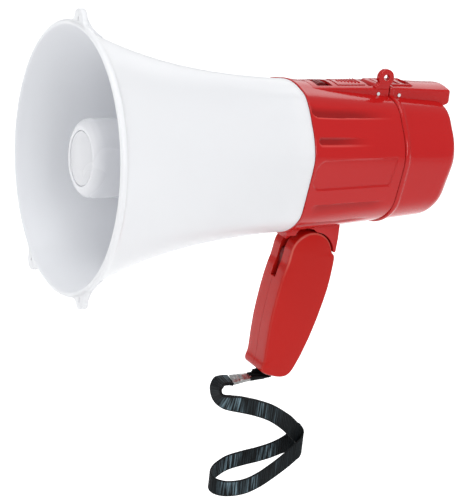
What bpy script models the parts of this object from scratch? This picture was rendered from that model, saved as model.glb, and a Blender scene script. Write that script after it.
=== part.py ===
# Hand megaphone: reflex horn, pistol grip that folds, battery cap at the rear.
# World frame in metres: +Z up, the bell faces -Y, origin in the middle of the grip.
# Shapes are written in horn coordinates (y = 0 at the rim plane, z = 0 on the horn
# axis) and moved to the world frame when each object is stored.
import bpy
import bmesh
import math
from mathutils import Matrix, Vector

for ob in list(bpy.data.objects):
    bpy.data.objects.remove(ob, do_unlink=True)

# ---- placement of the horn axis in the world frame
RIM_Y = -0.200
AXIS_Z = 0.120

# ---- horn and body sizes
RIM_R = 0.1025          # bell rim outer radius
HORN_WALL = 0.0025
SEAM_Y = 0.1785         # front lip of the red body
JOINT_Y = 0.2620        # joint between body and rear cap
CAP_END_Y = 0.3120      # rear face of the cap
DECK_END_Y = 0.3175     # rear end of the top deck
BODY_R0 = 0.0596        # body radius at y = 0.182
BODY_TAPER = 0.088
FLAT_D0 = 0.0548        # distance of the side flats from the axis at y = 0.182
FLAT_TAPER = 0.068
FLAT_DIP = math.radians(13.0)
BODY_WALL = 0.0024
SHOULDER = 0.0026       # how far the upper sides stand out from the round section
FILLET_TOP = 0.0045     # rear edge radius high on the cap
FILLET_LOW = 0.0120     # and under it
DECK_HALF = 0.0155
DECK_EDGE_Z = 0.0566
DECK_CROWN = 0.0022
GAP = 0.0004
WHEEL = (0.2067, 0.0532)    # y, z of the volume wheel's axle

# ---- reflector and driver
CUP_R = 0.0297
BADGE_R = 0.0206
DRIVER_R = 0.0400

# ---- grip
PIVOT = (0.2105, -0.0778)   # y, z of the fold hinge
HEAD_R = 0.0185
NEST_R = 0.0193
GRIP_HALF = 0.0174
TRIG_HALF = 0.0033
SLOT_HALF = 0.0038

# ---- power
CELL_R = 0.0131
CELL_LEN = 0.0500
CELL_RING = 0.0275
CELL_COUNT = 6

# ---- strap
WEB_W = 0.0132
WEB_T = 0.0013


# ------------------------------------------------------------------ materials
def material(name, rgb, rough=0.4, metal=0.0):
    m = bpy.data.materials.new(name)
    m.use_nodes = True
    b = m.node_tree.nodes["Principled BSDF"]
    b.inputs["Base Color"].default_value = (rgb[0], rgb[1], rgb[2], 1.0)
    b.inputs["Roughness"].default_value = rough
    b.inputs["Metallic"].default_value = metal
    return m


WHITE = material("white_abs", (0.86, 0.87, 0.88), 0.3)
RED = material("red_abs", (0.60, 0.03, 0.03), 0.3)
DARK_RED = material("dark_red_abs", (0.25, 0.02, 0.02), 0.4)
BLACK = material("black_plastic", (0.02, 0.02, 0.02), 0.5)
RUBBER = material("black_rubber", (0.015, 0.015, 0.015), 0.8)
STEEL = material("bright_steel", (0.75, 0.75, 0.76), 0.25, 1.0)
SPRING = material("spring_steel", (0.55, 0.55, 0.56), 0.3, 1.0)
FERRITE = material("ferrite", (0.05, 0.05, 0.055), 0.6)
PHENOLIC = material("phenolic_film", (0.35, 0.20, 0.09), 0.5)
BOARD = material("glass_epoxy", (0.03, 0.22, 0.08), 0.5)
ALUMINIUM = material("aluminium", (0.70, 0.71, 0.72), 0.35, 1.0)
COPPER = material("copper_wire", (0.70, 0.33, 0.16), 0.4, 1.0)
ZINC = material("cell_jacket", (0.55, 0.45, 0.15), 0.35, 0.6)
FOAM = material("open_foam", (0.03, 0.03, 0.03), 0.95)
NYLON = material("black_nylon", (0.02, 0.022, 0.025), 0.6)


# ------------------------------------------------------------------ helpers
def world(p):
    return Vector((p[0], p[1] + RIM_Y, p[2] + AXIS_Z))


def store(name, verts, faces, mat, smooth=False):
    me = bpy.data.meshes.new(name)
    me.from_pydata([world(v) for v in verts], [], faces)
    bm = bmesh.new()
    bm.from_mesh(me)
    bmesh.ops.remove_doubles(bm, verts=bm.verts, dist=1e-7)
    bmesh.ops.recalc_face_normals(bm, faces=bm.faces)
    bm.to_mesh(me)
    bm.free()
    me.materials.append(mat)
    ob = bpy.data.objects.new(name, me)
    bpy.context.scene.collection.objects.link(ob)
    if smooth:
        shade(ob)
    return ob


def shade(ob, angle=32.0):
    me = ob.data
    me.polygons.foreach_set("use_smooth", [True] * len(me.polygons))
    bm = bmesh.new()
    bm.from_mesh(me)
    for e in bm.edges:
        if len(e.link_faces) == 2 and e.calc_face_angle(0.0) > math.radians(angle):
            e.smooth = False
    bm.to_mesh(me)
    bm.free()
    me.update()


def combine(ob, tool, op):
    """Boolean of ob with tool; the tool is removed afterwards."""
    mod = ob.modifiers.new("join", "BOOLEAN")
    mod.operation = op
    mod.solver = "EXACT"
    mod.object = tool
    bpy.context.view_layer.update()
    dg = bpy.context.evaluated_depsgraph_get()
    new = bpy.data.meshes.new_from_object(ob.evaluated_get(dg))
    ob.modifiers.clear()
    old = ob.data
    ob.data = new
    new.name = ob.name
    bpy.data.meshes.remove(old)
    tm = tool.data
    bpy.data.objects.remove(tool, do_unlink=True)
    bpy.data.meshes.remove(tm)
    mat = ob.data.materials[0]
    ob.data.materials.clear()
    ob.data.materials.append(mat)
    for p in ob.data.polygons:
        p.material_index = 0
    bm = bmesh.new()
    bm.from_mesh(ob.data)
    bmesh.ops.remove_doubles(bm, verts=bm.verts, dist=2e-6)
    bmesh.ops.dissolve_degenerate(bm, edges=bm.edges, dist=1e-6)
    bm.to_mesh(ob.data)
    bm.free()
    return ob


def cut(ob, tool):
    return combine(ob, tool, "DIFFERENCE")


def fuse(ob, tool):
    return combine(ob, tool, "UNION")


def lathe(name, pts, mat, seg=48, smooth=True):
    """Turn a closed (y, r) outline about the horn axis; r = 0 points become poles."""
    verts, faces, rings = [], [], []
    for (y, r) in pts:
        if r <= 1e-9:
            rings.append([len(verts)])
            verts.append((0.0, y, 0.0))
        else:
            start = len(verts)
            for i in range(seg):
                a = 2 * math.pi * i / seg
                verts.append((r * math.cos(a), y, r * math.sin(a)))
            rings.append(list(range(start, start + seg)))
    n = len(rings)
    for k in range(n):
        a, b = rings[k], rings[(k + 1) % n]
        if len(a) == 1 and len(b) == 1:
            continue
        for i in range(seg):
            j = (i + 1) % seg
            if len(a) == 1:
                faces.append((a[0], b[j], b[i]))
            elif len(b) == 1:
                faces.append((a[i], a[j], b[0]))
            else:
                faces.append((a[i], a[j], b[j], b[i]))
    return store(name, verts, faces, mat, smooth)


def loft(name, rings, mat, closed=False, smooth=True):
    """Skin rings of equal length; closed joins the last ring to the first."""
    verts, faces = [], []
    n = len(rings[0])
    for r in rings:
        verts.extend(r)
    m = len(rings)
    last = m if closed else m - 1
    for k in range(last):
        a, b = k * n, ((k + 1) % m) * n
        for i in range(n):
            j = (i + 1) % n
            faces.append((a + i, a + j, b + j, b + i))
    if not closed:
        faces.append(tuple(range(n)))
        faces.append(tuple(range((m - 1) * n, m * n)))
    return store(name, verts, faces, mat, smooth)


def prism(name, yz, x0, x1, mat, smooth=False):
    """Outline in the y-z plane pushed along x."""
    return loft(name, [[(x, y, z) for (y, z) in yz] for x in (x0, x1)], mat, smooth=smooth)


def prism_y(name, xz, y0, y1, mat, smooth=False):
    return loft(name, [[(x, y, z) for (x, z) in xz] for y in (y0, y1)], mat, smooth=smooth)


def box(name, x0, x1, y0, y1, z0, z1, mat):
    return prism(name, [(y0, z0), (y1, z0), (y1, z1), (y0, z1)], x0, x1, mat)


def rod(name, p0, p1, r, mat, seg=20, r1=None):
    """Solid round bar between two points."""
    a, b = Vector(p0), Vector(p1)
    d = (b - a).normalized()
    ref = Vector((0, 0, 1)) if abs(d.z) < 0.9 else Vector((1, 0, 0))
    u = d.cross(ref).normalized()
    v = d.cross(u)
    rings = []
    for c, rr in ((a, r), (b, r if r1 is None else r1)):
        rings.append([tuple(c + u * rr * math.cos(2 * math.pi * i / seg)
                            + v * rr * math.sin(2 * math.pi * i / seg)) for i in range(seg)])
    return loft(name, rings, mat)


def arc(cy, cz, r, a0, a1, n):
    out = []
    for i in range(n + 1):
        a = math.radians(a0 + (a1 - a0) * i / n)
        out.append((cy + r * math.cos(a), cz + r * math.sin(a)))
    return out


def body_radius(y):
    return BODY_R0 - BODY_TAPER * (y - 0.182)


def section_r(phi, y, off=0.0):
    """Radius of the body section at angle phi from +X: round with two side flats."""
    z, x = math.sin(phi), abs(math.cos(phi))
    ph = math.atan2(z, x)
    r = body_radius(y) + off
    c = math.cos(ph + FLAT_DIP)
    if c > 0.3:
        d = FLAT_D0 - FLAT_TAPER * (y - 0.182) + off
        k = 0.0012
        r = -k * math.log(math.exp(-r / k) + math.exp(-(d / c) / k))
    t = (math.degrees(ph) - 56.0) / 20.0
    if abs(t) < 1.0:
        r += SHOULDER * body_radius(y) / BODY_R0 * math.cos(t * math.pi / 2) ** 2
    return r


def fillet_radius(i, n=40):
    """Rear edge radius at the i-th point of a section."""
    a = 2 * math.pi * (i + 0.5) / n
    deg = math.degrees(math.atan2(math.sin(a), abs(math.cos(a))))
    t = min(1.0, max(0.0, (35.0 - deg) / 75.0))
    return FILLET_TOP + (FILLET_LOW - FILLET_TOP) * t * t * (3 - 2 * t)


def fillet_ring(sweep):
    """Ring of the cap's rear edge where its fillet has turned by sweep radians."""
    ring = []
    for i in range(40):
        a, rf = 2 * math.pi * (i + 0.5) / 40, fillet_radius(i)
        y = CAP_END_Y - rf + rf * math.sin(sweep)
        r = section_r(a, y, -rf * (1 - math.cos(sweep)))
        ring.append((r * math.cos(a), y, r * math.sin(a)))
    return ring


def section(y, off=0.0, blend=1.0, round_r=None, n=40):
    ring = []
    for i in range(n):
        a = 2 * math.pi * (i + 0.5) / n
        r = section_r(a, y, off)
        if blend < 1.0:
            r = round_r + (r - round_r) * blend
        ring.append((r * math.cos(a), y, r * math.sin(a)))
    return ring


def deck_top(x):
    return DECK_EDGE_Z + DECK_CROWN * (1.0 - (x / DECK_HALF) ** 2)


def deck_outline(y, bottom):
    pts = [(-DECK_HALF, bottom), (DECK_HALF, bottom), (DECK_HALF, DECK_EDGE_Z - 0.0006)]
    for i in range(9):
        x = (DECK_HALF - 0.0004) * (1 - 2 * i / 8)
        pts.append((x, deck_top(x)))
    pts.append((-DECK_HALF, DECK_EDGE_Z - 0.0006))
    return [(x, y, z) for (x, z) in pts]


def deck_block(name, y0, y1):
    rings = []
    for y in (y0, 0.5 * (y0 + y1), y1):
        rings.append(deck_outline(y, min(body_radius(y) - 0.0044, DECK_EDGE_Z - 0.0022)))
    return loft(name, rings, RED)


# ------------------------------------------------------------------ horn
# Outer and inner outlines: distance from the rim plane, radius.
HORN_OUT = [(0.0000, 0.1000), (0.0004, 0.1014), (0.0020, 0.1025), (0.0045, 0.1020),
            (0.0060, 0.0996), (0.0080, 0.0970), (0.0140, 0.0940), (0.0240, 0.0900),
            (0.0380, 0.0845), (0.0560, 0.0785), (0.0800, 0.0720), (0.1080, 0.0665),
            (0.1380, 0.0625), (0.1620, 0.0603)]
HORN_IN = [(0.1620, 0.0576), (0.1380, 0.0598), (0.1080, 0.0638), (0.0800, 0.0693),
           (0.0560, 0.0758), (0.0380, 0.0819), (0.0240, 0.0875), (0.0120, 0.0928),
           (0.0040, 0.0968), (0.0006, 0.0988)]


def horn_blend(y):
    t = min(1.0, max(0.0, (y - 0.105) / 0.070))
    return t * t * (3 - 2 * t)


def horn_ring(y, r, n=40):
    b = horn_blend(y)
    ring = []
    for i in range(n):
        a = 2 * math.pi * i / n
        rr = r
        if b > 0:
            ratio = section_r(a, 0.182) / BODY_R0
            rr = r * (1 - b * (1 - ratio))
        ring.append((rr * math.cos(a), y, rr * math.sin(a)))
    return ring


def build_horn():
    rings = [horn_ring(y, r) for (y, r) in HORN_OUT]
    rings.append(horn_ring(SEAM_Y - GAP, 0.0592))
    rings.append(horn_ring(SEAM_Y - GAP, 0.0562))
    rings.append(horn_ring(0.1930, 0.0548))
    rings.append(horn_ring(0.1930, 0.0524))
    rings.append(horn_ring(0.1740, 0.0538))
    rings += [horn_ring(y, r) for (y, r) in HORN_IN]
    horn = loft("horn_bell", rings, WHITE, closed=True)
    for deg in (90.0, -63.0, -117.0):
        a = math.radians(deg)
        er, et = Vector((math.cos(a), 0, math.sin(a))), Vector((-math.sin(a), 0, math.cos(a)))
        prof = [(0.1000, -0.0105), (0.1030, -0.0088), (0.1080, -0.0050), (0.1112, -0.0030),
                (0.1122, 0.0), (0.1112, 0.0030), (0.1080, 0.0050), (0.1030, 0.0088),
                (0.1000, 0.0105)]
        rr = [[tuple(er * r + et * t + Vector((0, y, 0))) for (r, t) in prof]
              for y in (0.0008, 0.0050)]
        fuse(horn, loft("tab", rr, WHITE))
        fin = [(0.0930, 0.0035), (0.1085, 0.0035), (0.1060, 0.0090), (0.0985, 0.0170),
               (0.0920, 0.0250), (0.0885, 0.0250)]
        ff = [[tuple(er * r + et * t + Vector((0, y, 0))) for (r, y) in fin]
              for t in (-0.0022, 0.0022)]
        fuse(horn, loft("fin", ff, WHITE))
        slit = [(0.1033, -0.0006), (0.1075, -0.0006), (0.1075, 0.0006), (0.1033, 0.0006)]
        ss = [[tuple(er * r + et * t + Vector((0, y, 0))) for (r, t) in slit]
              for y in (-0.001, 0.0022)]
        cut(horn, loft("slit", ss, WHITE))
    shade(horn)
    return horn


build_horn()

# ------------------------------------------------------------------ reflector
cup = lathe("reflector_cup", [
    (0.0141, 0.0), (0.0141, BADGE_R + 0.0003), (0.0128, BADGE_R + 0.0003), (0.0128, 0.0235),
    (0.0132, 0.0255), (0.0146, 0.0276), (0.0172, 0.0291), (0.0205, CUP_R), (0.1050, CUP_R),
    (0.1050, 0.0274), (0.0210, 0.0274), (0.0180, 0.0264), (0.0168, 0.0240), (0.0168, 0.0)],
    WHITE, seg=32)
for k in range(3):
    a = math.radians(90 + 120 * k)
    er, et = Vector((math.cos(a), 0, math.sin(a))), Vector((-math.sin(a), 0, math.cos(a)))
    sec = [(0.0285, 0.0880), (0.0670, 0.0880), (0.0643, 0.1030), (0.0285, 0.1030)]
    fuse(cup, loft("strut", [[tuple(er * r + et * t + Vector((0, y, 0))) for (r, y) in sec]
                             for t in (-0.0016, 0.0016)], WHITE))
shade(cup)
lathe("reflector_badge", [(0.0130, 0.0), (0.0130, BADGE_R - 0.0005), (0.0134, BADGE_R),
                          (0.0138, BADGE_R), (0.0138, 0.0)], WHITE, seg=32)
lathe("throat_tube", [
    (0.0360, 0.0150), (0.0360, 0.0172), (0.1200, 0.0150), (0.1560, 0.0135), (0.1632, 0.0170),
    (0.1632, 0.0500), (0.1660, 0.0500), (0.1660, 0.0102), (0.1500, 0.0106)], WHITE, seg=20)

# ------------------------------------------------------------------ driver
lathe("driver_cap", [
    (0.1664, 0.0102), (0.1664, DRIVER_R), (0.1780, DRIVER_R), (0.1780, 0.0365),
    (0.1712, 0.0350), (0.1700, 0.0330), (0.1700, 0.0120)], BLACK, seg=20)
lathe("diaphragm", [
    (0.1716, 0.0), (0.1732, 0.0095), (0.1762, 0.0168), (0.1752, 0.0230), (0.1758, 0.0335),
    (0.1763, 0.0335), (0.1758, 0.0228), (0.1768, 0.0172), (0.1820, 0.0176), (0.1820, 0.0173),
    (0.1766, 0.0166), (0.1737, 0.0092), (0.1721, 0.0)], PHENOLIC, seg=20)
lathe("top_plate", [(0.1784, 0.0185), (0.1784, DRIVER_R), (0.1824, DRIVER_R), (0.1824, 0.0185)],
      STEEL, seg=20)
lathe("ring_magnet", [(0.1828, 0.0220), (0.1828, 0.0420), (0.1954, 0.0420), (0.1954, 0.0220)],
      FERRITE, seg=20)
lathe("magnet_yoke", [(0.1795, 0.0), (0.1795, 0.0164), (0.1958, 0.0164), (0.1958, DRIVER_R),
                      (0.2006, DRIVER_R), (0.2006, 0.0)], STEEL, seg=20)


# ------------------------------------------------------------------ red body
def pocket(name, y0, y1, half, floor):
    return box(name, -half, half, y0, y1, floor, 0.075, RED)


def side_groove(name, y0, y1, z0, z1, depth, sx):
    """Shallow tapered recess that follows the body side, rounded at its front end."""
    zc, hz = (z0 + z1) / 2, (z1 - z0) / 2
    rings = []
    n = 8
    steps = [(y0, 0.35), (y0 + hz * 0.35, 0.80), (y0 + hz, 1.0), (y1 - 0.001, 1.0), (y1, 0.96)]
    for (y, s) in steps:
        ring = []
        for i in range(n + 1):
            z = zc - hz * s + 2 * hz * s * i / n
            ph = math.asin(max(-0.99, min(0.99, z / (section_r(math.asin(z / 0.06), y)))))
            r = section_r(ph, y) - depth
            ring.append((sx * r * math.cos(ph), y, r * math.sin(ph)))
        ring.append((sx * 0.070, y, zc + hz * s))
        ring.append((sx * 0.070, y, zc - hz * s))
        rings.append(ring)
    return loft(name, rings, RED)


def build_body():
    outer = [(SEAM_Y, -0.0004), (SEAM_Y + 0.0006, 0.0004), (0.1820, 0.0002), (0.2100, 0.0),
             (JOINT_Y - 0.0003, 0.0)]
    rings = [section(y, off) for (y, off) in outer]
    rings += [section(y, -BODY_WALL) for y in (JOINT_Y - 0.0003, 0.2100)]
    rings.append(section(SEAM_Y, -BODY_WALL))
    body = loft("body_shell", rings, RED, closed=True)
    fuse(body, deck_block("deck", 0.1945, JOINT_Y - 0.0005))
    core = [section(y, -BODY_WALL - 0.0001) for y in (0.2550, 0.2620, 0.2700)]
    cut(body, loft("cutter", core, RED))
    for sx in (1, -1):
        cut(body, side_groove("groove", 0.1780, 0.2460, 0.0405, 0.0465, 0.0011, sx))
        cut(body, side_groove("groove", 0.1820, 0.2300, 0.0210, 0.0295, 0.0009, sx))
        cut(body, side_groove("groove", 0.1850, 0.2550, -0.0150, 0.0105, 0.0009, sx))
    # deck details: a groove, the wheel window, the label recess and the latch pocket
    cut(body, box("cutter", -0.0120, 0.0120, 0.1925, 0.1950, 0.0570, 0.0700, RED))
    cut(body, box("cutter", -0.0105, 0.0105, 0.2000, 0.2135, 0.0420, 0.0700, RED))
    cut(body, box("cutter", -0.0100, 0.0100, 0.2180, 0.2440, 0.0580, 0.0700, RED))
    cut(body, pocket("cutter", 0.2452, 0.2552, 0.0110, 0.0503))
    cut(body, pocket("cutter", 0.2500, 0.2700, 0.0110, 0.0530))
    cut(body, box("cutter", 0.0108, 0.0180, 0.2526, 0.2700, 0.0554, 0.0700, RED))
    cut(body, rod("cutter", (-0.0146, 0.2520, 0.0526), (0.02, 0.2520, 0.0526), 0.0015, RED, 16))
    cut(body, rod("cutter", (-0.0125, *WHEEL), (0.0125, *WHEEL), 0.0014, RED, 16))
    # opening for the cable and the bracket screws in the floor
    for xx in (-0.0100, 0.0100):
        cut(body, rod("cutter", (xx, 0.2255, -0.0640), (xx, 0.2255, -0.0480), 0.0020, RED, 16))
    shade(body)
    return body


def build_cap():
    y_end = CAP_END_Y
    outer = [(JOINT_Y, 0.0006), (JOINT_Y + 0.0007, 0.0012), (JOINT_Y + 0.0033, 0.0012),
             (JOINT_Y + 0.0042, 0.0), (0.3000, 0.0)]
    rings = [section(y, off) for (y, off) in outer]
    for deg in (24, 50, 76, 90):
        rings.append(fillet_ring(math.radians(deg)))
    rings.append(section(y_end, -0.0300))
    inner = [(y_end - 0.0024, -0.0300), (y_end - 0.0024, -0.0130)]
    for deg in (50, 24):
        a = math.radians(deg)
        inner.append((0.3000 + 0.0096 * math.sin(a), -BODY_WALL - 0.0096 * (1 - math.cos(a))))
    inner.append((0.2680, -BODY_WALL))
    mouth = [(0.2680, -0.0046), (0.2575, -0.0046), (0.2575, -0.0030), (0.2618, -0.0030)]
    cap_rings = rings + [section(y, o) for (y, o) in inner] + [section(y, o) for (y, o) in mouth]
    # the skin closes on itself at the joint face and is capped across the rear
    verts, faces, n, m = [], [], 40, len(cap_rings)
    for r in cap_rings:
        verts.extend(r)
    split = len(rings)
    for k in range(m):
        if k == split - 1:
            continue
        a, b = k * n, ((k + 1) % m) * n
        for i in range(n):
            j = (i + 1) % n
            faces.append((a + i, a + j, b + j, b + i))
    faces.append(tuple(range((split - 1) * n, split * n)))
    faces.append(tuple(range(split * n, (split + 1) * n)))
    cap = store("rear_cap", verts, faces, RED)
    fuse(cap, deck_block("deck", JOINT_Y + 0.0002, DECK_END_Y))
    cut(cap, pocket("cutter", 0.2550, 0.2670, 0.0110, 0.0530))
    cut(cap, pocket("cutter", 0.2660, 0.2860, 0.0110, 0.0496))
    cut(cap, rod("cutter", (-0.0146, 0.2710, 0.0515), (0.02, 0.2710, 0.0515), 0.0018, RED, 16))
    # microphone port and the slot of the mode switch in the rear face
    cut(cap, rod("cutter", (0, 0.3060, 0.004), (0, 0.3200, 0.004), 0.0130, RED, 32))
    cut(cap, box("cutter", -0.0070, 0.0070, 0.3060, 0.3200, -0.0260, -0.0205, RED))
    shade(cap)
    return cap


build_body()
build_cap()

seal = [section(y, o) for (y, o) in ((0.2553, -0.0028), (0.2571, -0.0028), (0.2571, -0.0045),
                                     (0.2553, -0.0045))]
loft("seal_ring", seal, RUBBER, closed=True)

# deck hardware
rod("latch_pin", (-0.0143, 0.2520, 0.0526), (0.0161, 0.2520, 0.0526), 0.0014, STEEL, 16)
rod("catch_pin", (-0.0143, 0.2710, 0.0515), (0.0161, 0.2710, 0.0515), 0.0014, STEEL, 16)
latch = prism("latch_lever", arc(0.2520, 0.0526, 0.0021, 180, 315, 7)
              + [(0.2548, 0.0538), (0.2850, 0.0538), (0.2850, 0.0582), (0.2830, 0.0590),
                 (0.2520, 0.0590), (0.2499, 0.0565)], -0.0105, 0.0105, RED)
cut(latch, rod("cutter", (-0.02, 0.2520, 0.0526), (0.02, 0.2520, 0.0526), 0.0015, RED, 16))
shade(latch)

wheel_pts = []
for i in range(40):
    a = 2 * math.pi * i / 40
    r = 0.0060 if i % 2 else 0.0057
    wheel_pts.append((WHEEL[0] + r * math.cos(a), WHEEL[1] + r * math.sin(a)))
wheel = prism("volume_wheel", wheel_pts, -0.0050, 0.0050, BLACK)
cut(wheel, rod("cutter", (-0.02, *WHEEL), (0.02, *WHEEL), 0.0014, BLACK, 16))
rod("wheel_axle", (-0.0121, *WHEEL), (0.0121, *WHEEL), 0.0013, STEEL, 16)

plate = []
for y in (0.2184, 0.2436):
    ring = []
    for i in range(7):
        x = -0.0096 + 0.0192 * i / 6
        ring.append((x, y, 0.0583))
    for i in range(7):
        x = 0.0096 - 0.0192 * i / 6
        ring.append((x, y, deck_top(x) + 0.0005))
    plate.append(ring)
loft("control_plate", plate, RED)

eye = prism("strap_eyelet", arc(0.2580, 0.0648, 0.0068, -38, 218, 20)
            + [(0.2534, 0.0566), (0.2534, 0.0558), (0.2612, 0.0558), (0.2612, 0.0566)],
            0.0113, 0.0153, RED)
cut(eye, rod("cutter", (0, 0.2580, 0.0650), (0.02, 0.2580, 0.0650), 0.0025, RED, 20))
shade(eye)

# ------------------------------------------------------------------ electronics
board = lathe("amplifier_board", [(0.2066, 0.0), (0.2066, 0.0440), (0.2082, 0.0440),
                                  (0.2082, 0.0)], BOARD, seg=20, smooth=False)
cut(board, box("cutter", -0.0160, 0.0160, 0.2, 0.22, 0.0300, 0.06, BOARD))
box("heat_sink", 0.0080, 0.0300, 0.2086, 0.2290, -0.0150, 0.0150, ALUMINIUM)
sink = bpy.data.objects["heat_sink"]
for k in range(4):
    z = -0.0114 + 0.0063 * k
    cut(sink, box("cutter", 0.0110, 0.0400, 0.2080, 0.2300, z, z + 0.0038, ALUMINIUM))
rod("filter_capacitor", (-0.0150, 0.2086, 0.0120), (-0.0150, 0.2300, 0.0120), 0.0080, BLACK, 24)
box("output_transformer", -0.0280, -0.0060, 0.2086, 0.2270, -0.0260, -0.0060, COPPER)
pot = box("volume_pot", 0.0060, 0.0098, 0.2027, 0.2107, 0.0436, 0.0556, BLACK)
cut(pot, rod("cutter", (0.0, *WHEEL), (0.02, *WHEEL), 0.0016, BLACK, 16))

# ------------------------------------------------------------------ batteries
lathe("battery_holder", [
    (0.2365, 0.0), (0.2365, 0.0425), (0.2393, 0.0425), (0.2393, 0.0105), (0.2978, 0.0105),
    (0.2978, 0.0418), (0.3000, 0.0418), (0.3000, 0.0)], BLACK, seg=20)
for side, (ya, yb, yt) in (("front", (0.2396, 0.2401, 0.2421)),
                           ("rear", (0.2970, 0.2975, 0.2950))):
    ring = lathe("contact_ring_" + side, [(ya, 0.0170), (ya, 0.0380), (yb, 0.0380),
                                          (yb, 0.0170)], SPRING, seg=20, smooth=False)
    for k in range(CELL_COUNT):
        a = math.radians(30 + 60 * k)
        c = (CELL_RING * math.cos(a), CELL_RING * math.sin(a))
        fuse(ring, rod("dimple", (c[0], (ya + yb) / 2, c[1]), (c[0], yt, c[1]), 0.0045,
                       SPRING, 8, 0.0030))
for k in range(CELL_COUNT):
    a = math.radians(30 + 60 * k)
    cx, cz = CELL_RING * math.cos(a), CELL_RING * math.sin(a)
    y0, y1 = 0.2425, 0.2425 + CELL_LEN
    if k % 2:
        steps = [(y0, CELL_R - 0.001), (y0 + 0.001, CELL_R), (y1 - 0.003, CELL_R),
                 (y1 - 0.0016, CELL_R - 0.002), (y1 - 0.0016, 0.0033), (y1, 0.0033)]
    else:
        steps = [(y0, 0.0033), (y0 + 0.0016, 0.0033), (y0 + 0.0016, CELL_R - 0.002),
                 (y0 + 0.003, CELL_R), (y1 - 0.001, CELL_R), (y1, CELL_R - 0.001)]
    rings = [[(cx + r * math.cos(2 * math.pi * i / 16), y, cz + r * math.sin(2 * math.pi * i / 16))
              for i in range(16)] for (y, r) in steps]
    loft("cell_%d" % (k + 1), rings, ZINC)

# ------------------------------------------------------------------ rear face parts
grille = lathe("mic_grille", [(0.3118, 0.0), (0.3118, 0.0126), (0.3132, 0.0126),
                              (0.3140, 0.0112), (0.3140, 0.0)], BLACK, seg=20)
for ob in (grille,):
    for v in ob.data.vertices:
        v.co.z += 0.004
for k in range(5):
    z = -0.0040 + 0.004 * k
    hw = math.sqrt(max(0.0, 0.0100 ** 2 - (z - 0.004) ** 2))
    cut(grille, box("cutter", -hw, hw, 0.3100, 0.3150, z - 0.0008, z + 0.0008, BLACK))
foam = rod("mic_foam", (0, 0.3080, 0.004), (0, 0.3114, 0.004), 0.0122, FOAM, 24)
rod("mic_capsule", (0, 0.3030, 0.004), (0, 0.3076, 0.004), 0.0049, ALUMINIUM, 20)
box("mode_switch", -0.0030, 0.0010, 0.3085, 0.3150, -0.0255, -0.0210, BLACK)

# ------------------------------------------------------------------ grip bracket
PY, PZ = PIVOT
bracket_yz = [(0.1850, -0.0608), (0.1850, -0.0540), (0.2322, -0.0500), (0.2320, -0.0640),
              (0.2312, -0.0757)]
bracket_yz += arc(PY, PZ, NEST_R, 6, 84, 12)
bracket_yz += [(0.2080, -0.0576), (0.1995, -0.0584), (0.1935, -0.0608)]
bracket = prism("grip_bracket", bracket_yz, -0.0165, 0.0165, RED)
fuse(bracket, prism("nose", [(0.1866, -0.0560), (0.1960, -0.0560), (0.1925, -0.0645),
                             (0.1900, -0.0655), (0.1874, -0.0640)], -0.0085, 0.0085, RED))
fuse(bracket, prism("tongue", arc(PY, PZ, 0.0110, 100, 390, 16)
                    + [(PY + 0.0150, -0.0550), (PY - 0.0020, -0.0550)],
                    -TRIG_HALF, TRIG_HALF, RED))
cut(bracket, rod("cutter", (-0.02, PY, PZ), (0.02, PY, PZ), 0.0031, RED, 24))
saddle = [section(y, 0.0004) for y in (0.1700, 0.2000, 0.2450)]
cut(bracket, loft("cutter", saddle, RED))
for xx in (-0.0100, 0.0100):
    cut(bracket, rod("cutter", (xx, 0.2255, -0.0633), (xx, 0.2255, -0.0480), 0.0016, RED, 16))
shade(bracket, 25)
for nm, xx in (("bracket_screw_left", -0.0100), ("bracket_screw_right", 0.0100)):
    zi = -math.sqrt((body_radius(0.2255) - BODY_WALL) ** 2 - xx ** 2) + 0.0010
    scr = rod(nm, (xx, 0.2255, -0.0625), (xx, 0.2255, zi), 0.0013, STEEL, 16)
    fuse(scr, rod("head", (xx, 0.2255, zi - 0.0002), (xx, 0.2255, zi + 0.0020), 0.0032,
                  STEEL, 16))

# ------------------------------------------------------------------ grip
GRIP = arc(PY, PZ, HEAD_R, 174, 4, 18)
GRIP += [(0.2300, -0.0772), (0.2318, -0.0784), (0.2325, -0.0805), (0.2321, -0.0870),
         (0.2311, -0.0970), (0.2296, -0.1070), (0.2273, -0.1170), (0.2233, -0.1320),
         (0.2185, -0.1470), (0.2126, -0.1620), (0.2078, -0.1718), (0.2050, -0.1762),
         (0.2018, -0.1787), (0.1974, -0.1795), (0.1929, -0.1790), (0.1880, -0.1778),
         (0.1830, -0.1762), (0.1793, -0.1743), (0.1782, -0.1722), (0.1785, -0.1695),
         (0.1799, -0.1656), (0.1802, -0.1600), (0.1804, -0.1500), (0.1812, -0.1350),
         (0.1826, -0.1230), (0.1842, -0.1120), (0.1864, -0.1000), (0.1888, -0.0900),
         (0.1905, -0.0850)]


SPINE = (Vector((PY, PZ)), Vector((0.1925, -0.1600)))


def toward_spine(poly, f):
    """Shrink an outline toward the spine of the grip by the fraction f."""
    a, b = SPINE
    d = b - a
    out = []
    for (y, z) in poly:
        p = Vector((y, z))
        t = min(1.0, max(0.0, (p - a).dot(d) / d.dot(d)))
        q = a + d * t
        p = p.lerp(q, f)
        out.append((p.x, p.y))
    return out


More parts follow.
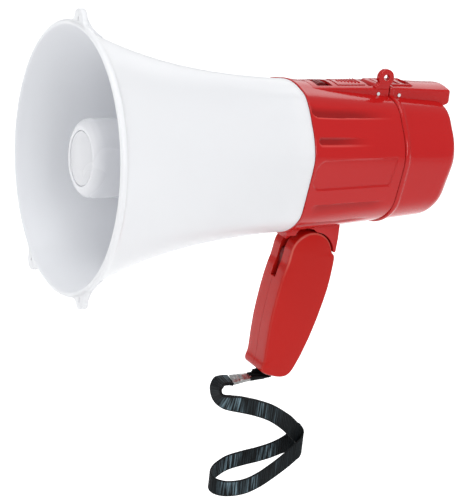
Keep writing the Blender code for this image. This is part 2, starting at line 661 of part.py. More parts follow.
def grip_half(name, sx):
    levels = [(0.00015, 0.0), (0.0138, 0.0), (0.0148, 0.04), (0.0160, 0.18),
              (0.0169, 0.38), (0.0173, 0.60)]
    rings = [[(sx * x, y, z) for (y, z) in toward_spine(GRIP, f)] for (x, f) in levels]
    half = loft(name, rings, RED)
    cavity = [(0.1900, -0.1080), (0.2195, -0.1080), (0.2190, -0.1250), (0.2130, -0.1450),
              (0.2065, -0.1620), (0.2020, -0.1710), (0.1960, -0.1740), (0.1880, -0.1735),
              (0.1830, -0.1690), (0.1830, -0.1560), (0.1835, -0.1400), (0.1848, -0.1260)]
    cut(half, prism("cutter", cavity, -0.001 * sx, 0.0140 * sx, RED))
    # centre slot: hinge tongue, trigger and switch
    slot = [(0.1700, -0.0985), (0.1935, -0.0985), (0.1935, -0.1085), (0.2140, -0.1085),
            (0.2140, -0.0930), (0.2400, -0.0900), (0.2400, -0.0450), (0.1700, -0.0450)]
    cut(half, prism("cutter", slot, -0.001 * sx, SLOT_HALF * sx, RED))
    cut(half, rod("cutter", (0, PY, PZ), (sx * 0.0134, PY, PZ), 0.0031, RED, 24))
    cut(half, rod("cutter", (0, 0.1955, -0.0790), (sx * 0.0080, 0.1955, -0.0790), 0.0012,
                  RED, 16))
    # mouth for the strap tape and the seat of the lanyard bar
    cut(half, prism("cutter", [(0.1835, -0.1650), (0.1960, -0.1650), (0.1990, -0.1850),
                               (0.1822, -0.1850)], -0.001 * sx, 0.0078 * sx, RED))
    cut(half, rod("cutter", (0, 0.1895, -0.1685), (sx * 0.0125, 0.1895, -0.1685), 0.0018,
                  RED, 16))
    for (yy, zz) in GRIP_SCREWS:
        fuse(half, rod("boss", (sx * 0.0003, yy, zz), (sx * 0.0150, yy, zz), 0.0045, RED, 16))
        cut(half, rod("cutter", (-sx * 0.001, yy, zz), (sx * 0.0100, yy, zz), 0.0018, RED, 16))
    shade(half, 28)
    return half


GRIP_SCREWS = ((0.2050, -0.1180), (0.1960, -0.1500))
right = grip_half("grip_right", 1)
left = bpy.data.objects.new("grip_left", right.data.copy())
bpy.context.scene.collection.objects.link(left)
for v in left.data.vertices:
    v.co.x = -v.co.x
left.data.flip_normals()
for nm, (yy, zz) in zip(("grip_screw_upper", "grip_screw_lower"), GRIP_SCREWS):
    cut(left, rod("cutter", (-0.0210, yy, zz), (-0.0062, yy, zz), 0.0034, RED, 14))
    scr = rod(nm, (-0.0068, yy, zz), (0.0090, yy, zz), 0.0014, STEEL, 16)
    fuse(scr, rod("head", (-0.0066, yy, zz), (-0.0092, yy, zz), 0.0030, STEEL, 20))
shade(left, 28)
rod("hinge_pin", (-0.0132, PY, PZ), (0.0132, PY, PZ), 0.0030, STEEL, 24)

trigger = prism("trigger", [
    (0.1936, -0.0758), (0.1924, -0.0800), (0.1917, -0.0900), (0.1915, -0.0962),
    (0.1924, -0.0977), (0.1936, -0.0976), (0.1962, -0.0890), (0.1976, -0.0800), (0.1966, -0.0762)],
    -TRIG_HALF, TRIG_HALF, DARK_RED)
cut(trigger, rod("cutter", (-0.02, 0.1955, -0.0790), (0.02, 0.1955, -0.0790), 0.0012,
                 DARK_RED, 16))
rod("trigger_pin", (-0.0077, 0.1955, -0.0790), (0.0077, 0.1955, -0.0790), 0.0011, STEEL, 16)
prism("trigger_spring", [(0.1978, -0.0905), (0.1982, -0.0905), (0.2008, -0.0960),
                         (0.2008, -0.1060), (0.2004, -0.1060), (0.2004, -0.0961)],
      -0.0020, 0.0020, SPRING)
sw = box("trigger_switch", -0.0030, 0.0030, 0.2016, 0.2130, -0.1070, -0.0955, BLACK)
rod("lanyard_bar", (-0.0120, 0.1895, -0.1685), (0.0120, 0.1895, -0.1685), 0.0015, STEEL, 16)


# ------------------------------------------------------------------ strap
def smooth_path(pts, n):
    """Catmull-Rom curve through the points, n samples."""
    p = [Vector(q) for q in pts]
    p = [p[0] * 2 - p[1]] + p + [p[-1] * 2 - p[-2]]
    out = []
    m = len(p) - 3
    for i in range(n):
        t = i * m / (n - 1)
        k = min(int(t), m - 1)
        u = t - k
        a, b, c, d = p[k], p[k + 1], p[k + 2], p[k + 3]
        out.append(0.5 * ((2 * b) + (c - a) * u + (2 * a - 5 * b + 4 * c - d) * u * u
                          + (3 * b - a - 3 * c + d) * u ** 3))
    return out


def band(name, path, ups, width, thick, mat):
    rings = []
    n = len(path)
    for i in range(n):
        t = (path[min(i + 1, n - 1)] - path[max(i - 1, 0)]).normalized()
        w = ups[i]
        w = (w - t * w.dot(t)).normalized()
        s = t.cross(w)
        c = path[i]
        rings.append([tuple(c + w * (width / 2) * a + s * (thick / 2) * b)
                      for (a, b) in ((-1, -1), (1, -1), (1, 1), (-1, 1))])
    return loft(name, rings, mat)


def ups_between(keys, n):
    out = []
    for i in range(n):
        t = i / (n - 1) * (len(keys) - 1)
        k = min(int(t), len(keys) - 2)
        out.append(Vector(keys[k]).lerp(Vector(keys[k + 1]), t - k))
    return out


# tape loop round the bar, out of the grip, into the crimp
tape_pts = [(0, 0.1775, -0.1820), (0, 0.1820, -0.1806), (0, 0.1850, -0.1770),
            (0, 0.1862, -0.1720), (0, 0.1870, -0.1686), (0, 0.1893, -0.1658), (0, 0.1922, -0.1680),
            (0, 0.1921, -0.1740), (0, 0.1890, -0.1806), (0, 0.1842, -0.1836), (0, 0.1778, -0.1842)]
tp = smooth_path(tape_pts, 25)
band("strap_tape", tp, [Vector((1, 0, 0))] * 25, 0.0130, 0.0009, NYLON)

crimp_pts = [(0, 0.1767, -0.1831), (0, 0.1740, -0.1834), (0, 0.1685, -0.1839),
             (0, 0.1630, -0.1846), (0, 0.1603, -0.1850)]
cp = smooth_path(crimp_pts, 9)
rings = []
for i, c in enumerate(cp):
    t = (cp[min(i + 1, 8)] - cp[max(i - 1, 0)]).normalized()
    s = t.cross(Vector((1, 0, 0)))
    hw = 0.0072
    rings.append([tuple(c + Vector((hw * a, 0, 0)) + s * 0.0022 * b)
                  for (a, b) in ((-1, -0.5), (-0.85, -1), (0.85, -1), (1, -0.5), (1, 0.5),
                                 (0.85, 1), (-0.85, 1), (-1, 0.5))])
loft("strap_crimp", rings, STEEL)

stem_pts = [(0.0, 0.1593, -0.1851), (0.0, 0.1545, -0.1849), (0.0010, 0.1482, -0.1857),
            (0.0060, 0.1431, -0.1905), (0.0115, 0.1446, -0.1953), (0.0140, 0.1510, -0.1979),
            (0.0142, 0.1657, -0.2010), (0.0135, 0.1794, -0.2052), (0.0120, 0.1939, -0.2112),
            (0.0100, 0.2085, -0.2204), (0.0078, 0.2185, -0.2288)]
n = 31
sp = smooth_path(stem_pts, n)
su = ups_between([(1, 0, 0.05), (1, 0, 0.1), (0.8, -0.2, 0.8), (0.1, 0, 1), (0, 0, 1), (0, 0, 1),
                  (0, 0, 1), (0, 0, 1), (0, 0, 1), (0, 0.1, 1), (0, 0.2, 1)], n)
band("strap_stem", sp, su, WEB_W, 2 * WEB_T + 0.0002, NYLON)
loop_pts = [(0.0076, 0.2214, -0.2314), (0.0072, 0.2252, -0.2344), (0.0082, 0.2281, -0.2378),
            (0.0106, 0.2283, -0.2412), (0.0122, 0.2256, -0.2444), (0.0126, 0.2213, -0.2474),
            (0.0132, 0.2108, -0.2546), (0.0142, 0.1992, -0.2609), (0.0150, 0.1866, -0.2676),
            (0.0155, 0.1739, -0.2716), (0.0150, 0.1600, -0.2722), (0.0118, 0.1508, -0.2706),
            (0.0056, 0.1480, -0.2684), (-0.0005, 0.1528, -0.2655), (-0.0040, 0.1612, -0.2617),
            (-0.0062, 0.1701, -0.2590), (-0.0080, 0.1842, -0.2571), (-0.0088, 0.1973, -0.2555),
            (-0.0080, 0.2097, -0.2522), (-0.0052, 0.2190, -0.2464), (-0.0012, 0.2228, -0.2398),
            (0.0036, 0.2216, -0.2332)]
n = 47
lp = smooth_path(loop_pts, n)
band("strap_loop", lp, ups_between([(0, 0.35, 1), (0, 0.25, 1), (0, 0, 1), (0, 0, 1)], n),
     WEB_W, WEB_T, NYLON)


# ------------------------------------------------------------------ joints
def joint(name, y, z, parts, parent=None):
    """Empty on a joint's axis; the parts take it as parent and as their origin."""
    p = world((0.0, y, z))
    axis = bpy.data.objects.new(name, None)
    axis.empty_display_size = 0.01
    axis.location = p
    if parent:
        axis.parent = parent[0]
        axis.location = p - parent[1]
    bpy.context.scene.collection.objects.link(axis)
    for nm in parts:
        ob = bpy.data.objects[nm]
        ob.data.transform(Matrix.Translation(-p))
        ob.parent = axis
    return axis, p


fold = joint("grip_axis", PY, PZ, [
    "grip_left", "grip_right", "grip_screw_upper", "grip_screw_lower", "hinge_pin",
    "trigger_pin", "trigger_spring", "trigger_switch", "lanyard_bar", "strap_tape",
    "strap_crimp", "strap_stem", "strap_loop"])
joint("trigger_axis", 0.1955, -0.0790, ["trigger"], fold)
joint("wheel_axis", *WHEEL, ["volume_wheel"])
joint("latch_axis", 0.2520, 0.0526, ["latch_lever"])
cap_base = joint("cap_axis", JOINT_Y, 0.0, ["rear_cap", "catch_pin", "mic_grille", "mic_foam",
                                            "mic_capsule"])
joint("switch_axis", CAP_END_Y, -0.02325, ["mode_switch"], cap_base)
bpy.context.view_layer.update()
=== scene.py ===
"""Looks of the hand megaphone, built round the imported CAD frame.

Lengths are metres in horn coordinates: x across, y behind the rim plane, z above the horn axis.
link_mesh() and the cords add SHIFT, which takes them into the shared frame. Section angles
(phi) start at +X and rise over the top; deg is the elevation in degrees, equal on both sides.
"""
import math

import bmesh
import bpy
import numpy as np
from mathutils import Matrix, Vector


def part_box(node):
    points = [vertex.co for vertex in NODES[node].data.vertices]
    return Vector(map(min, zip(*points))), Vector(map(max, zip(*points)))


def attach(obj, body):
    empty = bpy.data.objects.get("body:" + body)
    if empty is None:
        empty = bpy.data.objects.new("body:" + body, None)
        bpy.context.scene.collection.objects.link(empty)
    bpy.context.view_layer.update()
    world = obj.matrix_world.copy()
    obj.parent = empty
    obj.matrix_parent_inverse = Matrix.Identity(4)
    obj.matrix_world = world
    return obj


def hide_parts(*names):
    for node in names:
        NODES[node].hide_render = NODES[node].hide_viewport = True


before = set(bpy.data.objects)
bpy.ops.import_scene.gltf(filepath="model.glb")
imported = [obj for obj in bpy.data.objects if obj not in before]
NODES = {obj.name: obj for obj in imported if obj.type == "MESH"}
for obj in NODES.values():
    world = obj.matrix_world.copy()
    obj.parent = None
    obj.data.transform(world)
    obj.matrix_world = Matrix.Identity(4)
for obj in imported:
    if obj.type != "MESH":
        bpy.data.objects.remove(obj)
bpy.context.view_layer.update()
scene = bpy.context.scene

# the rim plane is the bell's front, and the round badge sits on the horn's axis
RIM_Y = float(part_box("horn_bell")[0][1])
BADGE_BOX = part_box("reflector_badge")
AXIS_Z = 0.5 * float(BADGE_BOX[0][2] + BADGE_BOX[1][2])
SHIFT = np.array((0.0, RIM_Y, AXIS_Z))


def add(name, data):
    """New object in the scene."""
    ob = bpy.data.objects.new(name, data)
    scene.collection.objects.link(ob)
    return ob


# ---- materials
def put(node, values):
    """Sets a node's inputs by name."""
    for key, value in values.items():
        node.inputs[key].default_value = value


class Mat:
    """Principled material with small helpers for procedural detail."""

    def __init__(self, name, rgb, rough, metal=0.0, spec=0.5):
        self.mat = bpy.data.materials.new(name)
        self.mat.use_nodes = True
        self.tree = self.mat.node_tree
        self.bsdf = self.tree.nodes["Principled BSDF"]
        put(self.bsdf, {"Base Color": (*rgb, 1.0), "Roughness": rough, "Metallic": metal,
                        "Specular IOR Level": spec})
        self.rgb, self.rough = rgb, rough
        self.height = None
        self.coord = self.node("ShaderNodeTexCoord").outputs["Object"]

    def node(self, kind, **sets):
        n = self.tree.nodes.new(kind)
        for k, v in sets.items():
            setattr(n, k, v)
        return n

    def link(self, a, b):
        self.tree.links.new(a, b)

    def attribute(self, name):
        """Value that link_mesh() stored on the vertices."""
        return self.node("ShaderNodeAttribute", attribute_name=name).outputs["Fac"]

    def noise(self, scale, detail, stretch=(1, 1, 1)):
        mapping = self.node("ShaderNodeMapping")
        put(mapping, {"Scale": stretch})
        self.link(self.coord, mapping.inputs["Vector"])
        n = self.node("ShaderNodeTexNoise")
        put(n, {"Scale": scale, "Detail": detail})
        self.link(mapping.outputs["Vector"], n.inputs["Vector"])
        return n.outputs["Fac"]

    def ramp(self, fac, lo, hi, a=0.0, b=1.0):
        """fac from lo to hi becomes a to b, held at both ends."""
        r = self.node("ShaderNodeMapRange", clamp=True)
        put(r, {"From Min": lo, "From Max": hi, "To Min": a, "To Max": b})
        self.link(fac, r.inputs["Value"])
        return r.outputs["Result"]

    def math(self, op, a, b):
        n = self.node("ShaderNodeMath", operation=op)
        for i, v in enumerate((a, b)):
            if hasattr(v, "links"):
                self.link(v, n.inputs[i])
            else:
                n.inputs[i].default_value = v
        return n.outputs[0]

    def mix(self, fac, c0, c1):
        n = self.node("ShaderNodeMix", data_type="RGBA")
        self.link(fac, n.inputs["Factor"])
        for sock, c in ((n.inputs["A"], c0), (n.inputs["B"], c1)):
            if hasattr(c, "links"):
                self.link(c, sock)
            else:
                sock.default_value = (*c, 1.0)
        return n.outputs["Result"]

    def color(self, sock):
        self.link(sock, self.bsdf.inputs["Base Color"])

    def colour_so_far(self):
        return self.bsdf.inputs["Base Color"].links[0].from_socket

    def tint(self, scale, amount, detail=4.0):
        """Colour drifts between two near shades."""
        f = self.ramp(self.noise(scale, detail), 0.3, 0.7)
        lo = tuple(c * (1 - amount) for c in self.rgb)
        hi = tuple(min(1.0, c * (1 + amount) + 0.004 * amount) for c in self.rgb)
        self.color(self.mix(f, lo, hi))

    def gloss(self, scale, amount, detail, stretch=(1, 1, 1)):
        """Roughness drifts, as handling marks leave it."""
        f = self.noise(scale, detail, stretch)
        self.link(self.ramp(f, 0.3, 0.75, self.rough, self.rough + amount),
                  self.bsdf.inputs["Roughness"])

    def bump(self, fac, dist, strength):
        """Relief, laid over the relief given before."""
        n = self.node("ShaderNodeBump")
        put(n, {"Distance": dist, "Strength": strength})
        self.link(fac, n.inputs["Height"])
        if self.height is not None:
            self.link(self.height, n.inputs["Normal"])
        self.height = n.outputs["Normal"]
        self.link(self.height, self.bsdf.inputs["Normal"])


def plastic(name, rgb, rough, amount=0.04, peel=0.00002, spec=0.5):
    """Moulded plastic: slow colour drift, handling marks and orange peel."""
    m = Mat(name, rgb, rough, spec=spec)
    m.tint(9.0, amount, 2.0)
    m.gloss(14.0, 0.05, 2.0)
    m.bump(m.noise(420.0, 1.0), peel, 0.25)
    return m


def metal(name, rgb, rough, stretch=(1, 1, 1), amount=0.10):
    m = Mat(name, rgb, rough, metal=1.0)
    m.tint(40.0, amount)
    m.gloss(220.0, 0.16, 3.0, stretch)
    m.bump(m.noise(900.0, 2.0, stretch), 0.00001, 0.4)
    return m.mat


def milky(name, rgb, rough, weight, depth):
    """Thin white plastic that lets some light through its wall."""
    m = plastic(name, rgb, rough, 0.004)
    put(m.bsdf, {"Subsurface Weight": weight, "Subsurface Radius": (1.0, 1.0, 1.0),
                 "Subsurface Scale": depth})
    return m.mat


def body_red(name):
    """The high-gloss red of the shells and the rail."""
    return plastic(name, (0.54, 0.011, 0.011), 0.13, 0.03, spec=0.38)


def shaded_flute_red():
    """The body's red with painted shade darkening the flutes and a painted highlight lightening
    their lips.
    """
    m = body_red("body_red_flute_shade")
    # painted shade: the flutes are darkened by multiplying the red
    deep = m.node("ShaderNodeMix", data_type="RGBA", blend_type="MULTIPLY")
    m.link(m.ramp(m.attribute("flute_shade"), 0.0, 1.0), deep.inputs["Factor"])
    m.link(m.colour_so_far(), deep.inputs["A"])
    deep.inputs["B"].default_value = (0.64, 0.64, 0.64, 1.0)
    # painted highlight: a lighter red along the flutes' lower lips
    m.color(m.mix(m.attribute("lip"), deep.outputs["Result"], (0.78, 0.10, 0.09)))
    return m.mat


def grip_red():
    """The grip's red with a painted highlight, broken into patches, along its edge fillets."""
    m = plastic("grip_red", (0.53, 0.014, 0.010), 0.15, 0.03, spec=0.18)
    # painted highlight: a lighter pinkish red is mixed in along the edges
    patchy = m.ramp(m.noise(30.0, 2.0), 0.35, 0.65, 0.45, 1.0)
    edge_highlight = m.math("MULTIPLY", m.attribute("edge_highlight"), patchy)
    m.color(m.mix(edge_highlight, m.colour_so_far(), (0.80, 0.24, 0.19)))
    return m.mat


WHITE = milky("horn_white", (0.90, 0.905, 0.925), 0.30, 0.35, 0.008)
# painted shade: the bell's inside is a slightly darker, bluer copy of the horn's white
SHADED_INSIDE_WHITE = milky("bell_inside_shaded", (0.885, 0.895, 0.92), 0.40, 0.2, 0.002)
CUP_WHITE = milky("cup_white", (0.89, 0.895, 0.93), 0.24, 0.4, 0.006)
RED = body_red("body_red").mat
SHADED_FLUTE_RED = shaded_flute_red()
GRIP_RED = grip_red()
# painted shade: the trigger is a far darker red than the grip, as it looks in the shadow of its
# slot
TRIGGER_SHADED_RED = plastic("trigger_red_shaded", (0.15, 0.004, 0.004), 0.34, 0.06, spec=0.14).mat
BLACK = plastic("black_plastic", (0.016, 0.016, 0.018), 0.42, 0.12).mat
WHEEL_RED = plastic("wheel_red", (0.20, 0.010, 0.010), 0.36, 0.08).mat
RUBBER = plastic("black_rubber", (0.013, 0.013, 0.013), 0.75, 0.2, 0.00006).mat
FERRITE = plastic("ferrite_grey", (0.045, 0.045, 0.05), 0.55, 0.25, 0.00008).mat
PHENOLIC = plastic("phenolic_brown", (0.30, 0.16, 0.06), 0.45, 0.18, 0.00005).mat
JACKET = plastic("cell_jacket", (0.42, 0.30, 0.06), 0.30, 0.10).mat
STEEL = metal("nickel_steel", (0.76, 0.76, 0.75), 0.16)
CRIMP = metal("crimp_steel", (0.50, 0.50, 0.49), 0.26, (1, 3, 1), 0.20)
PIN = metal("pin_end", (0.92, 0.92, 0.93), 0.10)
SPRING = metal("spring_steel", (0.50, 0.50, 0.51), 0.28, (1, 8, 1))
ALUMINIUM = metal("aluminium", (0.68, 0.69, 0.70), 0.34, (1, 12, 1))


def board_material():
    m = Mat("circuit_green", (0.02, 0.16, 0.05), 0.38)
    v = m.node("ShaderNodeTexVoronoi", feature="DISTANCE_TO_EDGE")
    v.inputs["Scale"].default_value = 190.0
    m.link(m.coord, v.inputs["Vector"])
    f = m.ramp(v.outputs["Distance"], 0.02, 0.06)
    m.color(m.mix(f, (0.05, 0.30, 0.10), (0.015, 0.13, 0.04)))
    m.bump(f, 0.00004, 0.5)
    return m.mat


def copper_material():
    m = Mat("copper_winding", (0.62, 0.28, 0.10), 0.34, metal=1.0)
    w = m.node("ShaderNodeTexWave", wave_type="BANDS", bands_direction="Z")
    w.inputs["Scale"].default_value = 700.0
    m.link(m.coord, w.inputs["Vector"])
    m.color(m.mix(w.outputs["Fac"], (0.30, 0.11, 0.04), (0.72, 0.34, 0.14)))
    m.bump(w.outputs["Fac"], 0.0001, 0.8)
    return m.mat


def foam_material():
    m = Mat("open_foam", (0.02, 0.02, 0.021), 0.95)
    v = m.node("ShaderNodeTexVoronoi")
    v.inputs["Scale"].default_value = 1500.0
    m.link(m.coord, v.inputs["Vector"])
    m.color(m.mix(v.outputs["Distance"], (0.006, 0.006, 0.006), (0.04, 0.04, 0.042)))
    m.bump(v.outputs["Distance"], 0.0003, 1.0)
    return m.mat


def webbing_material(name, pitch, rib_lo, rib_hi, rough):
    """Ribbed nylon webbing with a painted highlight on its ribs. 'along' and 'across' are the
    strap's own lengths in metres.
    """
    m = Mat(name, rib_hi, rough, spec=0.16)
    along, across = m.attribute("along"), m.attribute("across")

    def wave(length, period):
        return m.math("SINE", m.math("MULTIPLY", length, 2 * math.pi / period), 0.0)

    def streak(f_along, f_across, detail):
        comb = m.node("ShaderNodeCombineXYZ")
        m.link(m.math("MULTIPLY", along, f_along), comb.inputs["X"])
        m.link(m.math("MULTIPLY", across, f_across), comb.inputs["Y"])
        n = m.node("ShaderNodeTexNoise")
        put(n, {"Scale": 1.0, "Detail": detail})
        m.link(comb.outputs["Vector"], n.inputs["Vector"])
        return n.outputs["Fac"]

    # crosswise ribs, each a bundle of shiny filaments
    rib = m.ramp(wave(along, pitch), -0.9, 0.9)
    warp = m.ramp(wave(across, 0.0009), -1, 1)
    # painted highlight: filaments painted bright rib by rib, and only over parts of the strap
    shine = m.math("MULTIPLY", m.ramp(streak(420.0, 40.0, 2.0), 0.42, 0.64),
                   m.ramp(streak(42.0, 6.0, 1.0), 0.42, 0.56, 0.10, 1.0))
    shine = m.math("MULTIPLY", shine, m.ramp(m.attribute("upright"), 0.0, 1.0, 0.06, 1.0))
    selvedge = m.ramp(m.math("ABSOLUTE", across, 0.0), 0.0052, 0.0060)
    dull = m.mix(rib, tuple(c * 0.6 for c in rib_lo), tuple(c * 0.022 for c in rib_hi))
    bright = m.mix(rib, tuple(c * 0.35 for c in rib_hi), rib_hi)
    m.color(m.mix(selvedge, m.mix(shine, dull, bright), (0.006, 0.007, 0.008)))
    m.link(m.ramp(shine, 0, 1, rough + 0.15, rough), m.bsdf.inputs["Roughness"])
    m.bump(rib, 0.00022, 0.9)
    m.bump(warp, 0.00006, 0.5)
    return m.mat


RIB_PITCH = 0.0021
BOARD = board_material()
COPPER = copper_material()
FOAM = foam_material()
WEBBING = webbing_material("strap_webbing", RIB_PITCH, (0.004, 0.005, 0.006),
                           (0.22, 0.33, 0.385), 0.40)
SATIN = webbing_material("strap_tape_satin", 0.0007, (0.006, 0.006, 0.007),
                         (0.014, 0.015, 0.017), 0.38)


# ---- mesh helpers
# faces of a box whose corners count through z, then y, then x
BOX_FACES = [(0, 1, 3, 2), (4, 6, 7, 5), (0, 4, 5, 1), (2, 3, 7, 6), (0, 2, 6, 4), (1, 5, 7, 3)]


def link_mesh(name, verts, faces, mat, angle=30.0, attrs=None):
    """New object; edges sharper than angle stay sharp, attrs are stored on the vertices."""
    me = bpy.data.meshes.new(name)
    me.from_pydata((np.asarray(verts, float) + SHIFT).tolist(), [], [tuple(f) for f in faces])
    me.materials.append(mat)
    for key, values in (attrs or {}).items():
        at = me.attributes.new(key, "FLOAT", "POINT")
        at.data.foreach_set("value", np.asarray(values, np.float32))
    bm = bmesh.new()
    bm.from_mesh(me)
    bmesh.ops.recalc_face_normals(bm, faces=bm.faces)
    bm.to_mesh(me)
    bm.free()
    ob = add(name, me)
    smooth(ob, angle)
    return ob


def smooth(ob, angle=30.0):
    ob.data.shade_smooth()
    ob.data.set_sharp_from_angle(angle=math.radians(angle))


def tube_faces(m, n, closed):
    """Quads between m rings of n points; closed also joins the last ring to the first."""
    faces = []
    for k in range(m if closed else m - 1):
        a, b = k * n, ((k + 1) % m) * n
        for i in range(n):
            j = (i + 1) % n
            faces.append((a + i, a + j, b + j, b + i))
    return faces


def loft(name, rings, mat, closed=False, angle=30.0, attrs=None):
    """Skin over rings of points, capped at both ends unless closed."""
    rings = np.asarray(rings, float)
    m, n = rings.shape[:2]
    faces = tube_faces(m, n, closed)
    if not closed:
        faces += [tuple(range(n)), tuple(range((m - 1) * n, m * n))]
    return link_mesh(name, rings.reshape(-1, 3), faces, mat, angle, attrs)


def lathe(name, pts, mat, seg, angle):
    """Outline (y, r) turned about the horn axis."""
    a = np.linspace(0, 2 * math.pi, seg, endpoint=False)
    rings = [np.stack([r * np.cos(a), np.full(seg, y), r * np.sin(a)], 1) for (y, r) in pts]
    return loft(name, rings, mat, angle=angle)


def lengths_along(path):
    """Distance from the start of the path to each of its points."""
    return np.concatenate([[0], np.cumsum(np.linalg.norm(np.diff(path, axis=0), axis=1))])


def curve_through(pts, n):
    """Smooth curve through the points, n samples evenly spaced."""
    p = np.asarray(pts, float)
    p = np.vstack([2 * p[0] - p[1], p, 2 * p[-1] - p[-2]])
    out = []
    for k in range(1, len(p) - 2):
        a, b, c, d = p[k - 1], p[k], p[k + 1], p[k + 2]
        for u in np.linspace(0, 1, 24, endpoint=False):
            out.append(0.5 * (2 * b + (c - a) * u + (2 * a - 5 * b + 4 * c - d) * u * u
                              + (3 * b - a - 3 * c + d) * u ** 3))
    out.append(p[-2])
    out = np.array(out)
    s = lengths_along(out)
    t = np.linspace(0, s[-1], n)
    return np.stack([np.interp(t, s, out[:, k]) for k in range(out.shape[1])], 1)


def ease(t):
    """Smooth step from 0 to 1."""
    t = np.clip(t, 0.0, 1.0)
    return t * t * (3 - 2 * t)


def applied(ob):
    """The object's mesh with its modifiers in it; the modifiers go."""
    dg = bpy.context.evaluated_depsgraph_get()
    new = bpy.data.meshes.new_from_object(ob.evaluated_get(dg))
    ob.modifiers.clear()
    return new


def boolean(ob, tool, op="DIFFERENCE", angle=30.0):
    """Cuts or joins the tool, which goes, and keeps only the object's first material."""
    mod = ob.modifiers.new("b", "BOOLEAN")
    mod.operation, mod.solver, mod.object = op, "EXACT", tool
    new = applied(ob)
    mat = ob.data.materials[0]
    ob.data = new
    new.materials.clear()
    new.materials.append(mat)
    new.polygons.foreach_set("material_index", [0] * len(new.polygons))
    bpy.data.objects.remove(tool, do_unlink=True)
    smooth(ob, angle)


def add_bevel(ob, width, seg=3, angle=35.0):
    mod = ob.modifiers.new("bevel", "BEVEL")
    mod.width, mod.segments, mod.limit_method = width, seg, "ANGLE"
    mod.angle_limit = math.radians(angle)
    ob.data = applied(ob)
    smooth(ob, 40)
    return ob


def block(x0, x1, y0, y1, z0, z1, name="tool", bevel=0.0):
    v = [(x, y, z) for x in (x0, x1) for y in (y0, y1) for z in (z0, z1)]
    ob = link_mesh(name, v, BOX_FACES, RED)
    if bevel:
        add_bevel(ob, bevel)
    return ob


def cut_blocks(ob, blocks, angle=30.0):
    for sides in blocks:
        boolean(ob, block(*sides), angle=angle)


def cylinder(p0, p1, r, seg):
    a, b = np.asarray(p0, float), np.asarray(p1, float)
    d = (b - a) / np.linalg.norm(b - a)
    ref = np.array((0, 0, 1.0)) if abs(d[2]) < 0.9 else np.array((1.0, 0, 0))
    u = np.cross(d, ref)
    u /= np.linalg.norm(u)
    v = np.cross(d, u)
    t = np.linspace(0, 2 * math.pi, seg, endpoint=False)[:, None]
    return loft("tool", [c + r * (np.cos(t) * u + np.sin(t) * v) for c in (a, b)], RED)


def cross_bore(ob, x0, x1, y, z, r, seg):
    """Round hole along x."""
    boolean(ob, cylinder((x0, y, z), (x1, y, z), r, seg))


def prism(outline, x0, x1, mat, name="tool"):
    """Outline in the y-z plane pushed along x."""
    o = np.asarray(outline, float)
    rings = [np.column_stack([np.full(len(o), x), o]) for x in (x0, x1)]
    return loft(name, rings, mat)


def arc(cy, cz, r, a0, a1, n):
    """Points of an arc in the y-z plane, angles in degrees from +Y."""
    t = np.radians(np.linspace(a0, a1, n + 1))
    return list(zip(cy + r * np.cos(t), cz + r * np.sin(t)))


# ---- body section
HINGE_Y, HINGE_Z = 0.2105, -0.0778
SEAM_Y, JOINT_Y, CAP_END_Y = 0.1785, 0.2620, 0.3120
WALL = 0.0024
# the body narrows to the rear from BODY_R at REF_Y; a flat facet lies low on each side
BODY_R, BODY_TAPER, REF_Y = 0.0596, 0.088, 0.182
FACET_R, FACET_TAPER, FACET_TURN, FACET_SOFT = 0.0548, 0.068, math.radians(13.0), 0.0010
SHOULDER, SHOULDER_DEG, SHOULDER_WIDTH = 0.0026, 56.0, 20.0


def body_radius(y):
    return BODY_R - BODY_TAPER * (y - REF_Y)


def elevation(phi):
    return np.arctan2(np.sin(phi), np.abs(np.cos(phi)))


def section_r(phi, y):
    """Radius at angles phi: round, with a facet low on each side and full shoulders."""
    up, r = elevation(phi), body_radius(y)
    lean = np.cos(up + FACET_TURN)
    flat = (FACET_R - FACET_TAPER * (y - REF_Y)) / np.maximum(lean, 0.3)
    blend = -FACET_SOFT * np.log(np.exp(-r / FACET_SOFT) + np.exp(-flat / FACET_SOFT))
    t = np.clip((np.degrees(up) - SHOULDER_DEG) / SHOULDER_WIDTH, -1, 1)
    return (np.where(lean > 0.3, blend, r)
            + SHOULDER * r / BODY_R * np.cos(t * math.pi / 2) ** 2)


def side_angles():
    """Angles round the section, close together over both sides."""
    side = np.concatenate([np.linspace(-64, -52, 9)[:-1], np.linspace(-52, 54, 150)[:-1],
                           np.linspace(54, 66, 9)[:-1]])
    top = np.linspace(66, 114, 17)[:-1]
    bottom = np.linspace(244, 296, 19)[:-1]
    return np.radians(np.concatenate([side, top, (180 - side)[::-1], bottom]))


def groove(t, lip, floor, run):
    """Across a flute, t degrees in from its edge: steep lip, floor, soft far side."""
    return ease(t / lip) * (1 - ease((t - floor) / run))


